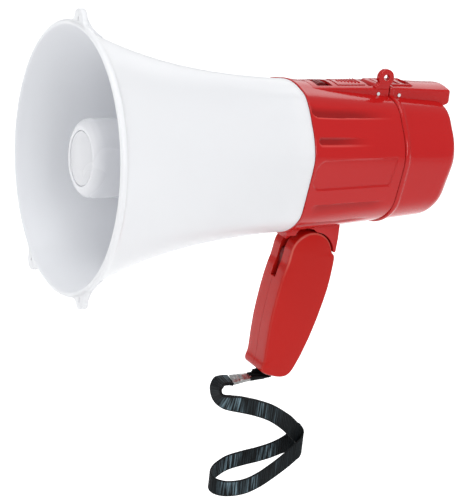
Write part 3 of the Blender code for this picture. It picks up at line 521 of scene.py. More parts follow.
def flute_depth(phi, y):
    """How far the moulded flutes and creases sink in, worked out in millimetres and degrees."""
    deg = np.degrees(elevation(phi))
    y = y * 1000.0
    d = np.zeros_like(deg)
    # upper flute: sharp lower lip, soft upper side, round front, fading to the rear
    line = 43.4 + 0.030 * np.maximum(y - 200, 0) + 5.5 * (1 - np.sqrt(
        np.clip(1 - ((186.0 - y) / 7.0) ** 2, 0, 1))) * (y < 186)
    fade = ease((y - 179.6) / 2.2) * (1 - ease((y - 208) / 50.0))
    d += 2.1 * fade * groove(deg - line, 1.1, 2.4, 6.5)
    # its twin low on the side
    line = -48.6 - 0.02 * (y - 190)
    fade = ease((y - 178.5) / 4) * (1 - ease((y - 225) / 25.0))
    d += 1.3 * fade * groove(line - deg, 0.9, 1.6, 6.0)
    # short flute between the upper one and the panel
    q = np.hypot(np.minimum(y - 185.3, 0) / 3.5, (deg - 25.2) / 3.4)
    fade = 1 - ease((y - 196) / 38.0)
    d += 1.6 * fade * (1 - ease((q - 0.55) / 0.45))
    # side panel: round front corners, square rear edge that leans
    front, rear = 181.3, 255.2 + 0.075 * (deg - 11)
    top, low = 11.1 + 0.016 * (y - 188), -14.7
    rad = np.where(y < 215, 8.0, 0.8)
    qy = np.abs(y - (rear + front) / 2) - (rear - front) / 2 + rad
    qz = np.abs(deg - (top + low) / 2) - (top - low) / 2 + rad
    out = np.hypot(np.maximum(qy, 0), np.maximum(qz, 0)) + np.minimum(np.maximum(qy, qz), 0) - rad
    d += 1.3 * (1 - ease((out + 0.9) / 1.1))
    # crease under the panel
    fade = ease((y - 184) / 8) * (1 - ease((y - 238) / 16.0))
    d += 1.0 * fade * ease((-27.6 - 0.02 * (y - 190) - deg) / 0.9) * (1 - ease((-29.2 - deg) / 9.0))
    return d * 0.001


PHI = side_angles()


def seam_lean(phi, y):
    """The joint with the bell leans back over the top of the body."""
    near = ease((y - 0.130) / 0.045) * (1 - ease((y - 0.1795) / 0.030))
    return 0.0030 * near * ease((np.sin(phi) - 0.78) / 0.22)


def ring_at(y, off=0.0, fluted=False):
    """Ring of the body's section at y, moved outward by off."""
    yy = np.full(len(PHI), y)
    r = section_r(PHI, yy) + off
    if fluted:
        r = r - flute_depth(PHI, yy)
    return np.stack([r * np.cos(PHI), yy + seam_lean(PHI, y), r * np.sin(PHI)], 1)


# cutters (x0, x1, y0, y1, z0, z1) for the wells of the latch, in the shells and in the rail
LATCH_WELL = [(-0.0110, 0.0110, 0.2452, 0.2552, 0.0503, 0.075),
              (-0.0110, 0.0110, 0.2500, 0.2700, 0.0530, 0.075)]
CATCH_WELL = [(-0.0110, 0.0110, 0.2550, 0.2670, 0.0530, 0.075),
              (-0.0110, 0.0110, 0.2660, 0.2860, 0.0496, 0.075)]
WHEEL_WINDOW = (-0.0105, 0.0105, 0.2000, 0.2135, 0.0420, 0.075)
# axes along x, as (y, z), and the bore of both pins
WHEEL_AXLE, LATCH_PIN, CATCH_PIN = (0.2067, 0.0532), (0.2520, 0.0526), (0.2710, 0.0515)
PIN_BORE = 0.0015
SHELL_SHARP = 38


def sorted_pair(x, y):
    """Both arrays in the order of x, as np.interp() needs them."""
    order = np.argsort(x)
    return x[order], y[order]


def build_body():
    ys = np.concatenate([np.linspace(0.1800, 0.2000, 27)[:-1],
                         np.linspace(0.2000, 0.2480, 44)[:-1],
                         np.linspace(0.2480, 0.2570, 15)[:-1], [0.2570, 0.2590, 0.2610]])
    front = [ring_at(SEAM_Y, -0.0016), ring_at(SEAM_Y, -0.0004),
             ring_at(SEAM_Y + 0.0002, 0.0001), ring_at(SEAM_Y + 0.0006, 0.0003)]
    side = [ring_at(y, 0.0003 * math.exp(-(y - SEAM_Y) / 0.004), True) for y in ys]
    rear = [ring_at(JOINT_Y - 0.0004, 0.0), ring_at(JOINT_Y - 0.0003, -0.0003)]
    inner = [ring_at(y, -WALL) for y in (JOINT_Y - 0.0003, 0.2200, SEAM_Y)]
    rings = np.array(front + side + rear + inner)
    # painted shade: only the narrow flutes darken, not the broad panel, and a painted highlight
    # lightens their lip
    flute_shade, lip = np.zeros(rings.shape[:2]), np.zeros(rings.shape[:2])
    deg = np.degrees(elevation(PHI))
    for k, y in enumerate(ys, len(front)):
        depth = flute_depth(PHI, np.full(len(PHI), y))
        flute_shade[k] = np.clip(depth / 0.0016, 0, 1) * (np.abs(deg + 1.8) > 14.5)
        below = np.interp(deg + 1.1, *sorted_pair(deg, flute_shade[k]))
        lip[k] = np.clip(below - flute_shade[k], 0, 1) * (deg > 0)
    body = loft("body_moulding", rings, SHADED_FLUTE_RED, closed=True, angle=SHELL_SHARP,
                attrs={"flute_shade": flute_shade.ravel(), "lip": lip.ravel()})
    cut_blocks(body, LATCH_WELL + [WHEEL_WINDOW], SHELL_SHARP)
    return body


DECK_HALF, DECK_EDGE_Z, DECK_CROWN, DECK_FILLET = 0.0155, 0.0566, 0.0022, 0.0009


def deck_ring(y, bottom, half=DECK_HALF, lift=0.0):
    """Section of the top rail: upright sides, rounded shoulders, crowned top."""
    shoulder = []
    for t in np.radians(np.linspace(15, 90, 6)):
        x = half - DECK_FILLET * (1 - math.cos(t))
        shoulder.append((x, DECK_EDGE_Z - DECK_FILLET * (1 - math.sin(t))
                         + DECK_CROWN * (1 - (x / half) ** 2)))
    side_top = DECK_EDGE_Z - DECK_FILLET
    xs = np.linspace(half - DECK_FILLET, -(half - DECK_FILLET), 23)[1:-1]
    pts = [(-half, bottom), (half, bottom), (half, side_top)] + shoulder
    pts += [(x, DECK_EDGE_Z + DECK_CROWN * (1 - (x / half) ** 2)) for x in xs]
    pts += [(-x, z) for (x, z) in shoulder[::-1]] + [(-half, side_top)]
    return np.array([(x, y, z + lift) for (x, z) in pts])


def build_deck_front():
    ys = np.concatenate([[0.1925], np.linspace(0.1950, JOINT_Y - 0.0006, 30)])
    rings = [deck_ring(y, min(body_radius(y) - 0.0040, DECK_EDGE_Z - 0.0030)) for y in ys]
    deck = loft("top_rail_front", rings, RED, angle=32)
    front_step = (-0.0122, 0.0122, 0.1928, 0.1950, 0.0566, 0.07)
    plate_seat = (-0.0100, 0.0100, 0.2180, 0.2440, 0.0580, 0.07)
    cut_blocks(deck, [front_step, WHEEL_WINDOW, plate_seat] + LATCH_WELL)
    cross_bore(deck, -0.0125, 0.0125, *WHEEL_AXLE, 0.0014, 20)
    cross_bore(deck, -0.0146, 0.02, *LATCH_PIN, PIN_BORE, 20)
    return deck


def bead(y):
    """Height of the ring bead that runs round the joint."""
    t = (y - 0.2641) / 0.0022
    return 0.0015 * np.sqrt(np.clip(1 - t * t, 0, 1))


def edge_ring(sweep):
    """Rear edge of the cap: tight over the shoulders, broad underneath."""
    rf = 0.0045 + 0.0075 * ease((35.0 - np.degrees(elevation(PHI))) / 75.0)
    y = CAP_END_Y - rf + rf * math.sin(sweep)
    r = section_r(PHI, y) - rf * (1 - math.cos(sweep))
    return np.stack([r * np.cos(PHI), y, r * np.sin(PHI)], 1)


def build_cap():
    rings = [ring_at(JOINT_Y, -WALL), ring_at(JOINT_Y, 0.0)]
    rings += [ring_at(y, float(bead(y))) for y in np.linspace(0.26195, 0.26625, 13)]
    rings += [ring_at(y, 0.0) for y in np.linspace(0.2668, 0.3000, 20)]
    for deg in np.linspace(6, 90, 15):
        rings.append(edge_ring(math.radians(deg)))
    rings += [ring_at(CAP_END_Y, off) for off in (-0.0135, -0.0200, -0.0300)]
    split = len(rings)
    # inside, from the middle of the rear face forward to the lip that enters the body
    rings += [ring_at(CAP_END_Y - WALL, off) for off in (-0.0300, -0.0130)]
    inner = 0.0120 - WALL
    for a in np.radians((64, 42, 20)):
        rings.append(ring_at(0.3000 + inner * math.sin(a), -WALL - inner * (1 - math.cos(a))))
    rings += [ring_at(0.2850, -WALL), ring_at(0.2680, -WALL), ring_at(0.2680, -0.0046),
              ring_at(0.2575, -0.0046), ring_at(0.2575, -0.0030), ring_at(0.2618, -0.0030)]
    m, n = len(rings), len(PHI)
    # the rear face is closed by one polygon outside and one inside
    quads = tube_faces(m, n, True)
    faces = [f for k in range(m) if k != split - 1 for f in quads[k * n:(k + 1) * n]]
    faces += [tuple(range((split - 1) * n, split * n)), tuple(range(split * n, (split + 1) * n))]
    cap = link_mesh("rear_cap_moulding", np.concatenate(rings), faces, RED, SHELL_SHARP)
    cut_blocks(cap, CATCH_WELL, SHELL_SHARP)
    boolean(cap, cylinder((0, 0.3060, 0.004), (0, 0.3200, 0.004), 0.0130, 64), angle=SHELL_SHARP)
    switch_slot = (-0.0070, 0.0070, 0.3060, 0.3200, -0.0260, -0.0205)
    cut_blocks(cap, [switch_slot], SHELL_SHARP)
    return cap


DROOP = 0.0014


def overhang_bottom(y, droop):
    """Lower edge of the rail past the cap's shoulder, rounded up at its rear corner."""
    corner = float(np.clip((y - CAP_END_Y) / 0.0070, 0.0, 1.0))
    return 0.0430 + droop + 0.0050 * (1 - math.sqrt(1 - corner * corner))


def build_deck_rear():
    """Rear half of the rail; the ring bead crosses it, and its end is rounded off."""
    end_y = 0.3163
    ys = np.concatenate([np.linspace(0.2622, 0.2664, 13), np.linspace(0.2680, end_y, 20)])
    rings = []
    for y in ys:
        swell = 0.6 * float(bead(y))
        droop = DROOP * float(ease((y - 0.272) / 0.044))
        bottom = min(body_radius(y) - 0.0040, 0.0520)
        if y > 0.300:
            bottom = overhang_bottom(y, droop)
        rings.append(deck_ring(y, bottom, half=DECK_HALF + swell, lift=swell - droop))
    for t in np.radians(np.linspace(15, 80, 6)):
        inset = 0.0018 * (1 - math.cos(t))
        y = end_y + 0.0027 * math.sin(t)
        rings.append(deck_ring(y, overhang_bottom(y, DROOP) + inset, half=DECK_HALF - inset,
                               lift=-DROOP - inset))
    deck = loft("top_rail_rear", rings, RED, angle=32)
    cut_blocks(deck, CATCH_WELL)
    cross_bore(deck, -0.0146, 0.02, *CATCH_PIN, PIN_BORE, 20)
    return deck


def build_latch():
    """Lever in the rail: two finger notches near its end, three fine grooves across it."""
    prof = (arc(*LATCH_PIN, 0.0021, 180, 315, 10)
            + [(0.2548, 0.0538), (0.2850, 0.0538), (0.2850, 0.0582), (0.2838, 0.0589),
               (0.2525, 0.0589), (0.2510, 0.0582), (0.2499, 0.0565)])
    lever = prism(prof, -0.0105, 0.0105, RED, "latch_moulding")
    cross_bore(lever, -0.02, 0.02, *LATCH_PIN, PIN_BORE, 24)
    cut_blocks(lever, [(-0.0090, 0.0090, 0.2722, 0.2752, 0.0566, 0.07),
                       (-0.0090, 0.0090, 0.2790, 0.2836, 0.0560, 0.07)])
    cut_blocks(lever, [(-0.0085, 0.0085, y, y + 0.0012, 0.0582, 0.07)
                       for y in (0.2560, 0.2610, 0.2660)])
    return add_bevel(lever, 0.0003, 2)


def build_scale():
    """Plain raised ticks on the plate, each wider than the one before it."""
    top = DECK_EDGE_Z + DECK_CROWN + 0.0010
    parts = []
    for k in range(7):
        y, half = 0.2225 + 0.0028 * k, 0.0022 + 0.0006 * k
        parts.append(block(-half, half, y, y + 0.0009, top - 0.0014, top,
                           "plate_tick_%d" % k, 0.0002))
    return parts


def build_eyelet():
    """Strap ring that stands on the near edge of the rail and flares into it."""
    out = (arc(0.2580, 0.0650, 0.0068, -32, 212, 44)
           + [(0.2512, 0.0602), (0.2500, 0.0591), (0.2486, 0.0584), (0.2486, 0.0560),
              (0.2617, 0.0560), (0.2617, 0.0584), (0.2624, 0.0594), (0.2632, 0.0604)])
    ring = prism(out, 0.0112, 0.0156, RED, "eyelet_ring")
    cross_bore(ring, 0, 0.02, 0.2582, 0.0652, 0.0023, 36)
    return add_bevel(ring, 0.0011, 5, 30)


def build_bracket():
    """Saddle under the body that carries the grip's hinge."""
    nest = arc(HINGE_Y, HINGE_Z, 0.0193, 6, 84, 20)
    crescent = [(0.2095, -0.0562), (0.2040, -0.0552), (0.1975, -0.0554), (0.1948, -0.0578)]
    out = ([(0.1850, -0.0608), (0.1850, -0.0540), (0.2322, -0.0500), (0.2322, -0.0640),
            (0.2314, -0.0748), (0.2310, -0.0755)] + nest + crescent + [(0.1935, -0.0606)])
    part = prism(out, -0.0165, 0.0165, RED, "bracket_moulding")
    nib = [(0.1866, -0.0560), (0.1960, -0.0560), (0.1925, -0.0645), (0.1900, -0.0655),
           (0.1874, -0.0640)]
    boolean(part, prism(nib, -0.0085, 0.0085, RED), "UNION")
    tongue = (arc(HINGE_Y, HINGE_Z, 0.0110, 100, 390, 30)
              + [(HINGE_Y + 0.0150, -0.0550), (HINGE_Y - 0.0020, -0.0550)])
    boolean(part, prism(tongue, -0.0034, 0.0034, RED), "UNION")
    cross_bore(part, -0.02, 0.02, HINGE_Y, HINGE_Z, 0.0031, 36)
    saddle = [ring_at(y, 0.0002) for y in (0.1700, 0.2000, 0.2450)]
    boolean(part, loft("tool", saddle, RED))
    for x in (-0.0100, 0.0100):
        boolean(part, cylinder((x, 0.2255, -0.0633), (x, 0.2255, -0.0480), 0.0016, 24))
    return add_bevel(part, 0.0006, 3, 40)


# ---- horn
OUTLINE = [(0.0020, 0.1025), (0.0045, 0.1018), (0.0062, 0.0992), (0.0080, 0.0970),
           (0.0140, 0.0940), (0.0240, 0.0900), (0.0380, 0.0845), (0.0560, 0.0785),
           (0.0800, 0.0720), (0.1080, 0.0665), (0.1380, 0.0625), (0.1620, 0.0603),
           (0.1781, 0.0594)]
INLINE = [(0.1620, 0.0576), (0.1380, 0.0598), (0.1080, 0.0638), (0.0800, 0.0693),
          (0.0560, 0.0758), (0.0380, 0.0819), (0.0240, 0.0875), (0.0120, 0.0928),
          (0.0040, 0.0968), (0.0008, 0.0984)]


def horn_ring(y, r, phi):
    """Round towards the mouth, and of the body's section where it meets the body."""
    b = float(ease((y - 0.105) / 0.070))
    ratio = section_r(phi, np.full(len(phi), REF_Y)) / BODY_R
    rr = r * (1 - b * (1 - ratio))
    return np.stack([rr * np.cos(phi), y + seam_lean(phi, y), rr * np.sin(phi)], 1)


def build_horn():
    phi = np.linspace(0, 2 * math.pi, 288, endpoint=False)
    pts = [(0.0001, 0.0992), (0.0000, 0.1003), (0.0003, 0.1013), (0.0010, 0.1021)]
    pts += [tuple(p) for p in curve_through(OUTLINE, 78)]
    pts += [(0.1781, 0.0562), (0.1930, 0.0548), (0.1930, 0.0524), (0.1740, 0.0538)]
    split = len(pts)
    pts += [tuple(p) for p in curve_through(INLINE, 60)]
    rings = [horn_ring(y, r, phi) for (y, r) in pts]
    bell = loft("bell_moulding", rings, WHITE, closed=True, angle=40)
    # the inside has its own, more even white, a little darker and bluer as painted shade
    bell.data.materials.append(SHADED_INSIDE_WHITE)
    side = (np.arange(len(bell.data.polygons)) // len(phi) >= split).astype(int)
    bell.data.polygons.foreach_set("material_index", side.tolist())
    return bell


def polar_point(deg, r, t, y):
    """Point at radius r in the direction deg, t to its side."""
    a = math.radians(deg)
    return (r * math.cos(a) - t * math.sin(a), y, r * math.sin(a) + t * math.cos(a))


def build_lug(name, deg):
    """Rounded tab on the rim, and a web behind it that runs back along the bell."""
    root, web_root = 0.0985, 0.0930
    half = [(root, 0.0170), (0.1008, 0.0140), (0.1028, 0.0108), (0.1048, 0.0088),
            (0.1068, 0.0079), (0.1088, 0.0071), (0.1106, 0.0056), (0.1118, 0.0035),
            (0.1123, 0.0012)]
    right = curve_through(half, 30)
    prof = [(r, t) for (r, t) in right] + [(r, -t) for (r, t) in right[::-1]]
    rings = []
    for (y, s) in ((0.0007, 0.90), (0.0009, 0.96), (0.0014, 1.0), (0.0040, 1.0),
                   (0.0048, 0.96), (0.0052, 0.88)):
        rings.append([polar_point(deg, root + (r - root) * (0.98 + 0.02 * s), t * s, y)
                      for (r, t) in prof])
    tab = loft(name, rings, WHITE, angle=50)
    fin = curve_through([(0.1108, 0.0042), (0.1092, 0.0060), (0.1056, 0.0080), (0.1010, 0.0106),
                         (0.0966, 0.0146), (0.0925, 0.0200)], 18)
    outer = [(r, y) for (r, y) in fin] + [(0.0905, 0.0212), (0.0938, 0.0140), (0.0975, 0.0045)]
    rings = []
    for (t, s) in ((-0.0023, 0.90), (-0.0019, 0.97), (-0.0012, 1.0), (0.0012, 1.0),
                   (0.0019, 0.97), (0.0023, 0.90)):
        rings.append([polar_point(deg, web_root + (r - web_root) * s if r > web_root else r, t, y)
                      for (r, y) in outer])
    web = loft(name + "_web", rings, WHITE, angle=50)
    # fine radial slit in the tab's face
    slit = [polar_point(deg, r, t, y) for r in (0.1032, 0.1066) for t in (-0.0006, 0.0006)
            for y in (-0.001, 0.0026)]
    boolean(tab, link_mesh("tool", slit, BOX_FACES, WHITE), angle=50)
    return tab, web


def build_reflector():
    """Cup with its nose and three ribs, and the disc that sits in the nose."""
    seg, sharp = 144, 35
    front = [(0.0144, 0.0209), (0.0130, 0.0209), (0.0128, 0.0212), (0.0128, 0.0222)]
    nose = [(0.0128 + 0.0082 * (1 - math.cos(a)), 0.0222 + 0.0075 * math.sin(a))
            for a in np.radians(np.linspace(0, 90, 18))]
    shell = [(0.0300, 0.0297), (0.0600, 0.0297), (0.1042, 0.0297), (0.1048, 0.0292),
             (0.1050, 0.0285), (0.1048, 0.0277), (0.1042, 0.0274)]
    inside = [(0.0210, 0.0274), (0.0180, 0.0264), (0.0168, 0.0240)]
    cup = lathe("reflector_moulding", front + nose + shell + inside, CUP_WHITE, seg, sharp)
    rib = [(0.0285, 0.0880), (0.0672, 0.0880), (0.0646, 0.1030), (0.0285, 0.1030)]
    for deg in (90, 210, 330):
        sides = [[polar_point(deg, r, t, y) for (r, y) in rib] for t in (-0.0016, 0.0016)]
        boolean(cup, loft("tool", sides, CUP_WHITE), "UNION", sharp)
    disc = [(0.0142, 0.0004), (0.0142, 0.0203), (0.0135, 0.0204), (0.0132, 0.0202),
            (0.01305, 0.0198), (0.0130, 0.0004)]
    return cup, lathe("reflector_disc", disc, CUP_WHITE, seg, sharp)


# ---- grip
GRIP = (arc(HINGE_Y, HINGE_Z, 0.0185, 176, 8, 26)
        + [(0.2300, -0.0772), (0.2318, -0.0784), (0.2325, -0.0805), (0.2321, -0.0870),
           (0.2311, -0.0970), (0.2296, -0.1070), (0.2273, -0.1170), (0.2233, -0.1320),
           (0.2185, -0.1470), (0.2126, -0.1620), (0.2078, -0.1718), (0.2050, -0.1762),
           (0.2018, -0.1787), (0.1974, -0.1795), (0.1929, -0.1790), (0.1880, -0.1778),
           (0.1830, -0.1762), (0.1793, -0.1743), (0.1782, -0.1722), (0.1785, -0.1695),
           (0.1799, -0.1656), (0.1802, -0.1600), (0.1804, -0.1500), (0.1812, -0.1350),
           (0.1826, -0.1230), (0.1842, -0.1120), (0.1864, -0.1000), (0.1888, -0.0900),
           (0.1905, -0.0850)])
SPINE_A, SPINE_B = np.array((HINGE_Y, HINGE_Z)), np.array((0.1925, -0.1600))


def smooth_outline(pts, n):
    """Even, rounded resampling of a closed outline."""
    p = np.asarray(pts, float)
    p = np.vstack([p, p[:1]])
    s = lengths_along(p)
    t = np.linspace(0, s[-1], n, endpoint=False)
    q = np.stack([np.interp(t, s, p[:, k]) for k in (0, 1)], 1)
    for _ in range(3):
        q = 0.5 * q + 0.25 * (np.roll(q, 1, 0) + np.roll(q, -1, 0))
    return q


def spine_pull(q, dist=None, frac=None):
    """Moves points towards the grip's spine, by a distance or by a fraction of the way."""
    d = SPINE_B - SPINE_A
    t = np.clip(((q - SPINE_A) @ d) / (d @ d), 0, 1)[:, None]
    to = SPINE_A + t * d - q
    if frac is not None:
        return q + to * frac
    return q + to / np.linalg.norm(to, axis=1)[:, None] * dist


def build_grip(sx, name):
    """One half of the grip: flat edge band, filleted side panel that crowns outward."""
    q = smooth_outline(GRIP, 300)
    edge_x, fillet = 0.0135, 0.0022
    rings = [np.column_stack([np.full(len(q), x), q]) for x in (0.00015, 0.0080, edge_x)]
    for t in np.radians(np.linspace(12, 90, 9)):
        rings.append(np.column_stack([np.full(len(q), edge_x + 0.0024 * math.sin(t)),
                                      spine_pull(q, dist=fillet * (1 - math.cos(t)))]))
    base = spine_pull(q, dist=fillet)
    for f in np.linspace(0.06, 0.97, 16):
        x = 0.0159 + 0.0015 * (1 - (1 - f) ** 2)
        rings.append(np.column_stack([np.full(len(q), x), spine_pull(base, frac=f)]))
    rings = np.array(rings)
    rings[:, :, 0] *= sx
    # painted highlight on the edge fillets: strongest over the head, and a little all round
    high = ease((rings[:, :, 2] + 0.100) / 0.030)
    edge_highlight = np.zeros(rings.shape[:2])
    edge_highlight[4:10] = np.array([0.3, 0.8, 1.0, 1.0, 0.6, 0.2])[:, None] * (0.12 + 0.75 * high[4:10])
    half = loft(name, rings, GRIP_RED, angle=42, attrs={"edge_highlight": edge_highlight.ravel()})
    cavity = [(0.1900, -0.1080), (0.2195, -0.1080), (0.2190, -0.1250), (0.2130, -0.1450),
              (0.2065, -0.1620), (0.2020, -0.1710), (0.1960, -0.1740), (0.1880, -0.1735),
              (0.1830, -0.1690), (0.1830, -0.1560), (0.1835, -0.1400), (0.1848, -0.1260)]
    slot = [(0.1700, -0.0985), (0.1935, -0.0985), (0.1935, -0.1085), (0.2140, -0.1085),
            (0.2140, -0.0930), (0.2400, -0.0900), (0.2400, -0.0450), (0.1700, -0.0450)]
    mouth = [(0.1835, -0.1650), (0.1962, -0.1650), (0.1992, -0.1850), (0.1822, -0.1850)]
    for outline, depth in ((cavity, 0.0130), (slot, 0.0038), (mouth, 0.0078)):
        boolean(half, prism(outline, -0.001 * sx, depth * sx, GRIP_RED), angle=42)
    return half


# ---- strap
WEB_W, WEB_T, RIB_DEPTH = 0.0132, 0.0013, 0.00012
# middle lines of stem and loop; the _UP lists say which way the width points along them
STEM = [(0.0, 0.1596, -0.1851), (0.0, 0.1552, -0.1847), (0.0010, 0.1497, -0.1852),
        (0.0052, 0.1448, -0.1888), (0.0106, 0.1446, -0.1940), (0.0140, 0.1505, -0.1974),
        (0.0142, 0.1650, -0.2008), (0.0135, 0.1794, -0.2050), (0.0120, 0.1939, -0.2110),
        (0.0098, 0.2085, -0.2202), (0.0074, 0.2205, -0.2302)]
STEM_UP = [(1, 0, -0.2), (1, 0.05, -0.1), (0.9, 0.1, 0.4), (0.35, 0.12, 0.95), (0, 0.1, 1),
           (0, 0, 1), (0, 0, 1), (0, 0, 1), (0, 0, 1), (0, 0, 1), (0, 0, 1)]
LOOP = [(0.0074, 0.2200, -0.2297), (0.0076, 0.2243, -0.2336), (0.0098, 0.2268, -0.2378),
        (0.0122, 0.2250, -0.2416), (0.0130, 0.2205, -0.2458),
        (0.0134, 0.2108, -0.2534), (0.0142, 0.1992, -0.2609), (0.0150, 0.1866, -0.2676),
        (0.0155, 0.1739, -0.2716), (0.0150, 0.1600, -0.2722), (0.0118, 0.1508, -0.2706),
        (0.0056, 0.1486, -0.2684), (-0.0005, 0.1528, -0.2655), (-0.0040, 0.1612, -0.2617),
        (-0.0062, 0.1701, -0.2590), (-0.0080, 0.1842, -0.2571), (-0.0088, 0.1973, -0.2555),
        (-0.0080, 0.2097, -0.2522), (-0.0062, 0.2196, -0.2472), (-0.0030, 0.2246, -0.2414),
        (0.0022, 0.2250, -0.2350), (0.0046, 0.2214, -0.2312)]
LOOP_UP = [(0, 0, 1), (0, 0, 1)]


def tangents(path):
    t = np.gradient(path, axis=0)
    return t / np.linalg.norm(t, axis=1)[:, None]


def frames_along(path, ups):
    """Width and face directions of a band along its path."""
    t = tangents(path)
    k = np.linspace(0, len(ups) - 1, len(path))
    u = np.stack([np.interp(k, np.arange(len(ups)), np.asarray(ups, float)[:, c])
                  for c in range(3)], 1)
    u /= np.linalg.norm(u, axis=1)[:, None]
    s = np.cross(t, u)
    reach = np.linalg.norm(s, axis=1)
    # the band keeps its width square to the path, however its rulings lean
    return u / np.maximum(reach, 0.70)[:, None], s / reach[:, None]


def round_section(k):
    """Places across a band from -1 to 1 and back, k each way, and the face each is on."""
    return (np.concatenate([np.linspace(-1, 1, k), np.linspace(1, -1, k)]),
            np.repeat([-1.0, 1.0], k))


def band(name, path, ups, thick):
    """Woven band: ribs across both faces, thicker rolled selvedges."""
    u, s = frames_along(path, ups)
    along = lengths_along(path)
    a, side = round_section(19)
    wave = 0.5 + 0.5 * np.cos(2 * math.pi * along / RIB_PITCH)
    rings = []
    for i in range(len(path)):
        h = np.full(len(a), thick / 2) - RIB_DEPTH * (1 - wave[i]) * (np.abs(a) < 0.86)
        h = h - 0.00025 * np.clip((np.abs(a) - 0.90) / 0.10, 0, 1) ** 2
        h = h + 0.00005 * ((np.abs(a) > 0.86) & (np.abs(a) < 0.97))
        rings.append(path[i] + u[i] * (a * WEB_W / 2)[:, None] + s[i] * (side * h)[:, None])
    # painted highlight: the ribs are painted bright where they stand upright, and stay dark where
    # the strap dives or turns away
    t = np.abs(tangents(path))
    upright = (1 - ease((t[:, 2] - 0.30) / 0.28)) * (1 - ease((t[:, 0] - 0.30) / 0.35))
    attrs = {"along": np.repeat(along, len(a)), "across": np.tile(a * WEB_W / 2, len(path)),
             "upright": np.repeat(upright, len(a))}
    return loft(name, rings, WEBBING, angle=50, attrs=attrs), along[-1]


def build_tape():
    """Satin tape: flat in the grip's mouth, gathered and turned into the crimp."""
    # y, z, width, and which way the width points
    keys = [(0.1893, -0.1665, 0.0130, (0, 1, 0.0)), (0.1893, -0.1735, 0.0150, (0, 1, -0.15)),
            (0.1893, -0.1792, 0.0176, (0.05, 1, -0.42)),
            (0.1855, -0.1815, 0.0138, (0.2, 1, -0.4)),
            (0.1815, -0.1824, 0.0092, (0.55, 0.8, -0.35)),
            (0.1785, -0.1829, 0.0082, (0.9, 0.3, -0.3)), (0.1757, -0.1832, 0.0088, (1, 0, -0.25))]
    n = 70
    k = np.linspace(0, 1, n)
    path = curve_through([(0.0, y, z) for (y, z, _, _) in keys], n)
    width = np.interp(k, np.linspace(0, 1, len(keys)), [key[2] for key in keys])
    u, sd = frames_along(path, [key[3] for key in keys])
    a, side = round_section(31)
    rings = []
    for i in range(n):
        gather = ease((k[i] - 0.35) / 0.5)
        fold = 0.0009 * gather * np.sin(a * 9.0 + 0.6) + 0.0012 * gather * (1 - a * a)
        h = side * (0.00055 + 0.0004 * gather) + fold
        rings.append(path[i] + u[i] * (a * width[i] / 2)[:, None] + sd[i] * h[:, None])
    # the satin's painted highlight is left at full strength all along the tape
    return loft("strap_tape_fan", rings, SATIN, angle=60,
                attrs={"along": np.repeat(lengths_along(path), len(a)),
                       "across": np.tile(a * 0.0040, n), "upright": np.ones(n * len(a))})


def build_crimp():
    """Pressed metal sleeve with rolled edges and crinkles across it."""
    n = 90
    path = curve_through([(0, 0.1769, -0.1831), (0, 0.1740, -0.1834), (0, 0.1685, -0.1839),
                          (0, 0.1630, -0.1846), (0, 0.1603, -0.1850)], n)
    k = np.linspace(0, 1, n)
    u, sd = frames_along(path, [(1, 0, -0.2), (1, -0.05, -0.22), (1, -0.12, -0.22)])
    t = np.linspace(0, 2 * math.pi, 48, endpoint=False)
    rings = []
    for i in range(n):
        hw = np.interp(k[i], (0, 0.12, 0.45, 0.85, 1), (0.0040, 0.0044, 0.0052, 0.0060, 0.0059))
        ht = np.interp(k[i], (0, 0.5, 1), (0.0019, 0.0021, 0.0019))
        ht = ht - 0.00012 * (0.5 + 0.5 * math.sin(k[i] * 26.0))
        ht = ht - 0.0003 * math.exp(-((k[i] - 0.62) / 0.05) ** 2)
        c, q = np.cos(t), np.sin(t)
        a = np.sign(c) * np.abs(c) ** 0.55 * hw
        b = np.sign(q) * np.abs(q) ** 0.7 * ht
        b = b + 0.00010 * np.sin(a * 1100 + k[i] * 7)
        rings.append(path[i] + u[i] * a[:, None] + sd[i] * b[:, None])
    return loft("strap_crimp_sleeve", rings, CRIMP, angle=40)


def build_strap():
    """Piece, path and length of the two-ply stem, then of the hand loop."""
    stem, loop = curve_through(STEM, 420), curve_through(LOOP, 560)
    plies, stem_len = band("strap_stem_webbing", stem, STEM_UP, 2 * WEB_T + 0.0002)
    ring, loop_len = band("strap_loop_webbing", loop, LOOP_UP, WEB_T)
    return plies, stem, stem_len, ring, loop, loop_len


# ---- build everything
def place(ob, body, node=None):
    """Puts a piece on its body, and in place of its CAD node if it has one."""
    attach(ob, body)
    if node:
        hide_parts(node)


place(build_horn(), "head", "horn_bell")
for i, deg in enumerate((90.0, -63.0, -117.0)):
    for ob in build_lug("rim_lug_%d" % (i + 1), deg):
        place(ob, "head")
for ob, node in zip(build_reflector(), ("reflector_cup", "reflector_badge")):
    place(ob, "head", node)
place(build_body(), "head", "body_shell")
place(build_deck_front(), "head")
for tick in build_scale():
    place(tick, "head")
place(build_cap(), "cap", "rear_cap")
place(build_deck_rear(), "cap")
place(build_latch(), "latch", "latch_lever")
place(build_eyelet(), "head", "strap_eyelet")
place(build_bracket(), "head", "grip_bracket")
for sx, node in ((1, "grip_right"), (-1, "grip_left")):
    place(build_grip(sx, node + "_moulding"), "grip", node)

stem, stem_path, stem_len, loop, loop_path, loop_len = build_strap()
place(stem, "grip", "strap_stem")
place(loop, "grip", "strap_loop")
tape, crimp = build_tape(), build_crimp()
place(tape, "grip", "strap_tape")
place(crimp, "grip", "strap_crimp")

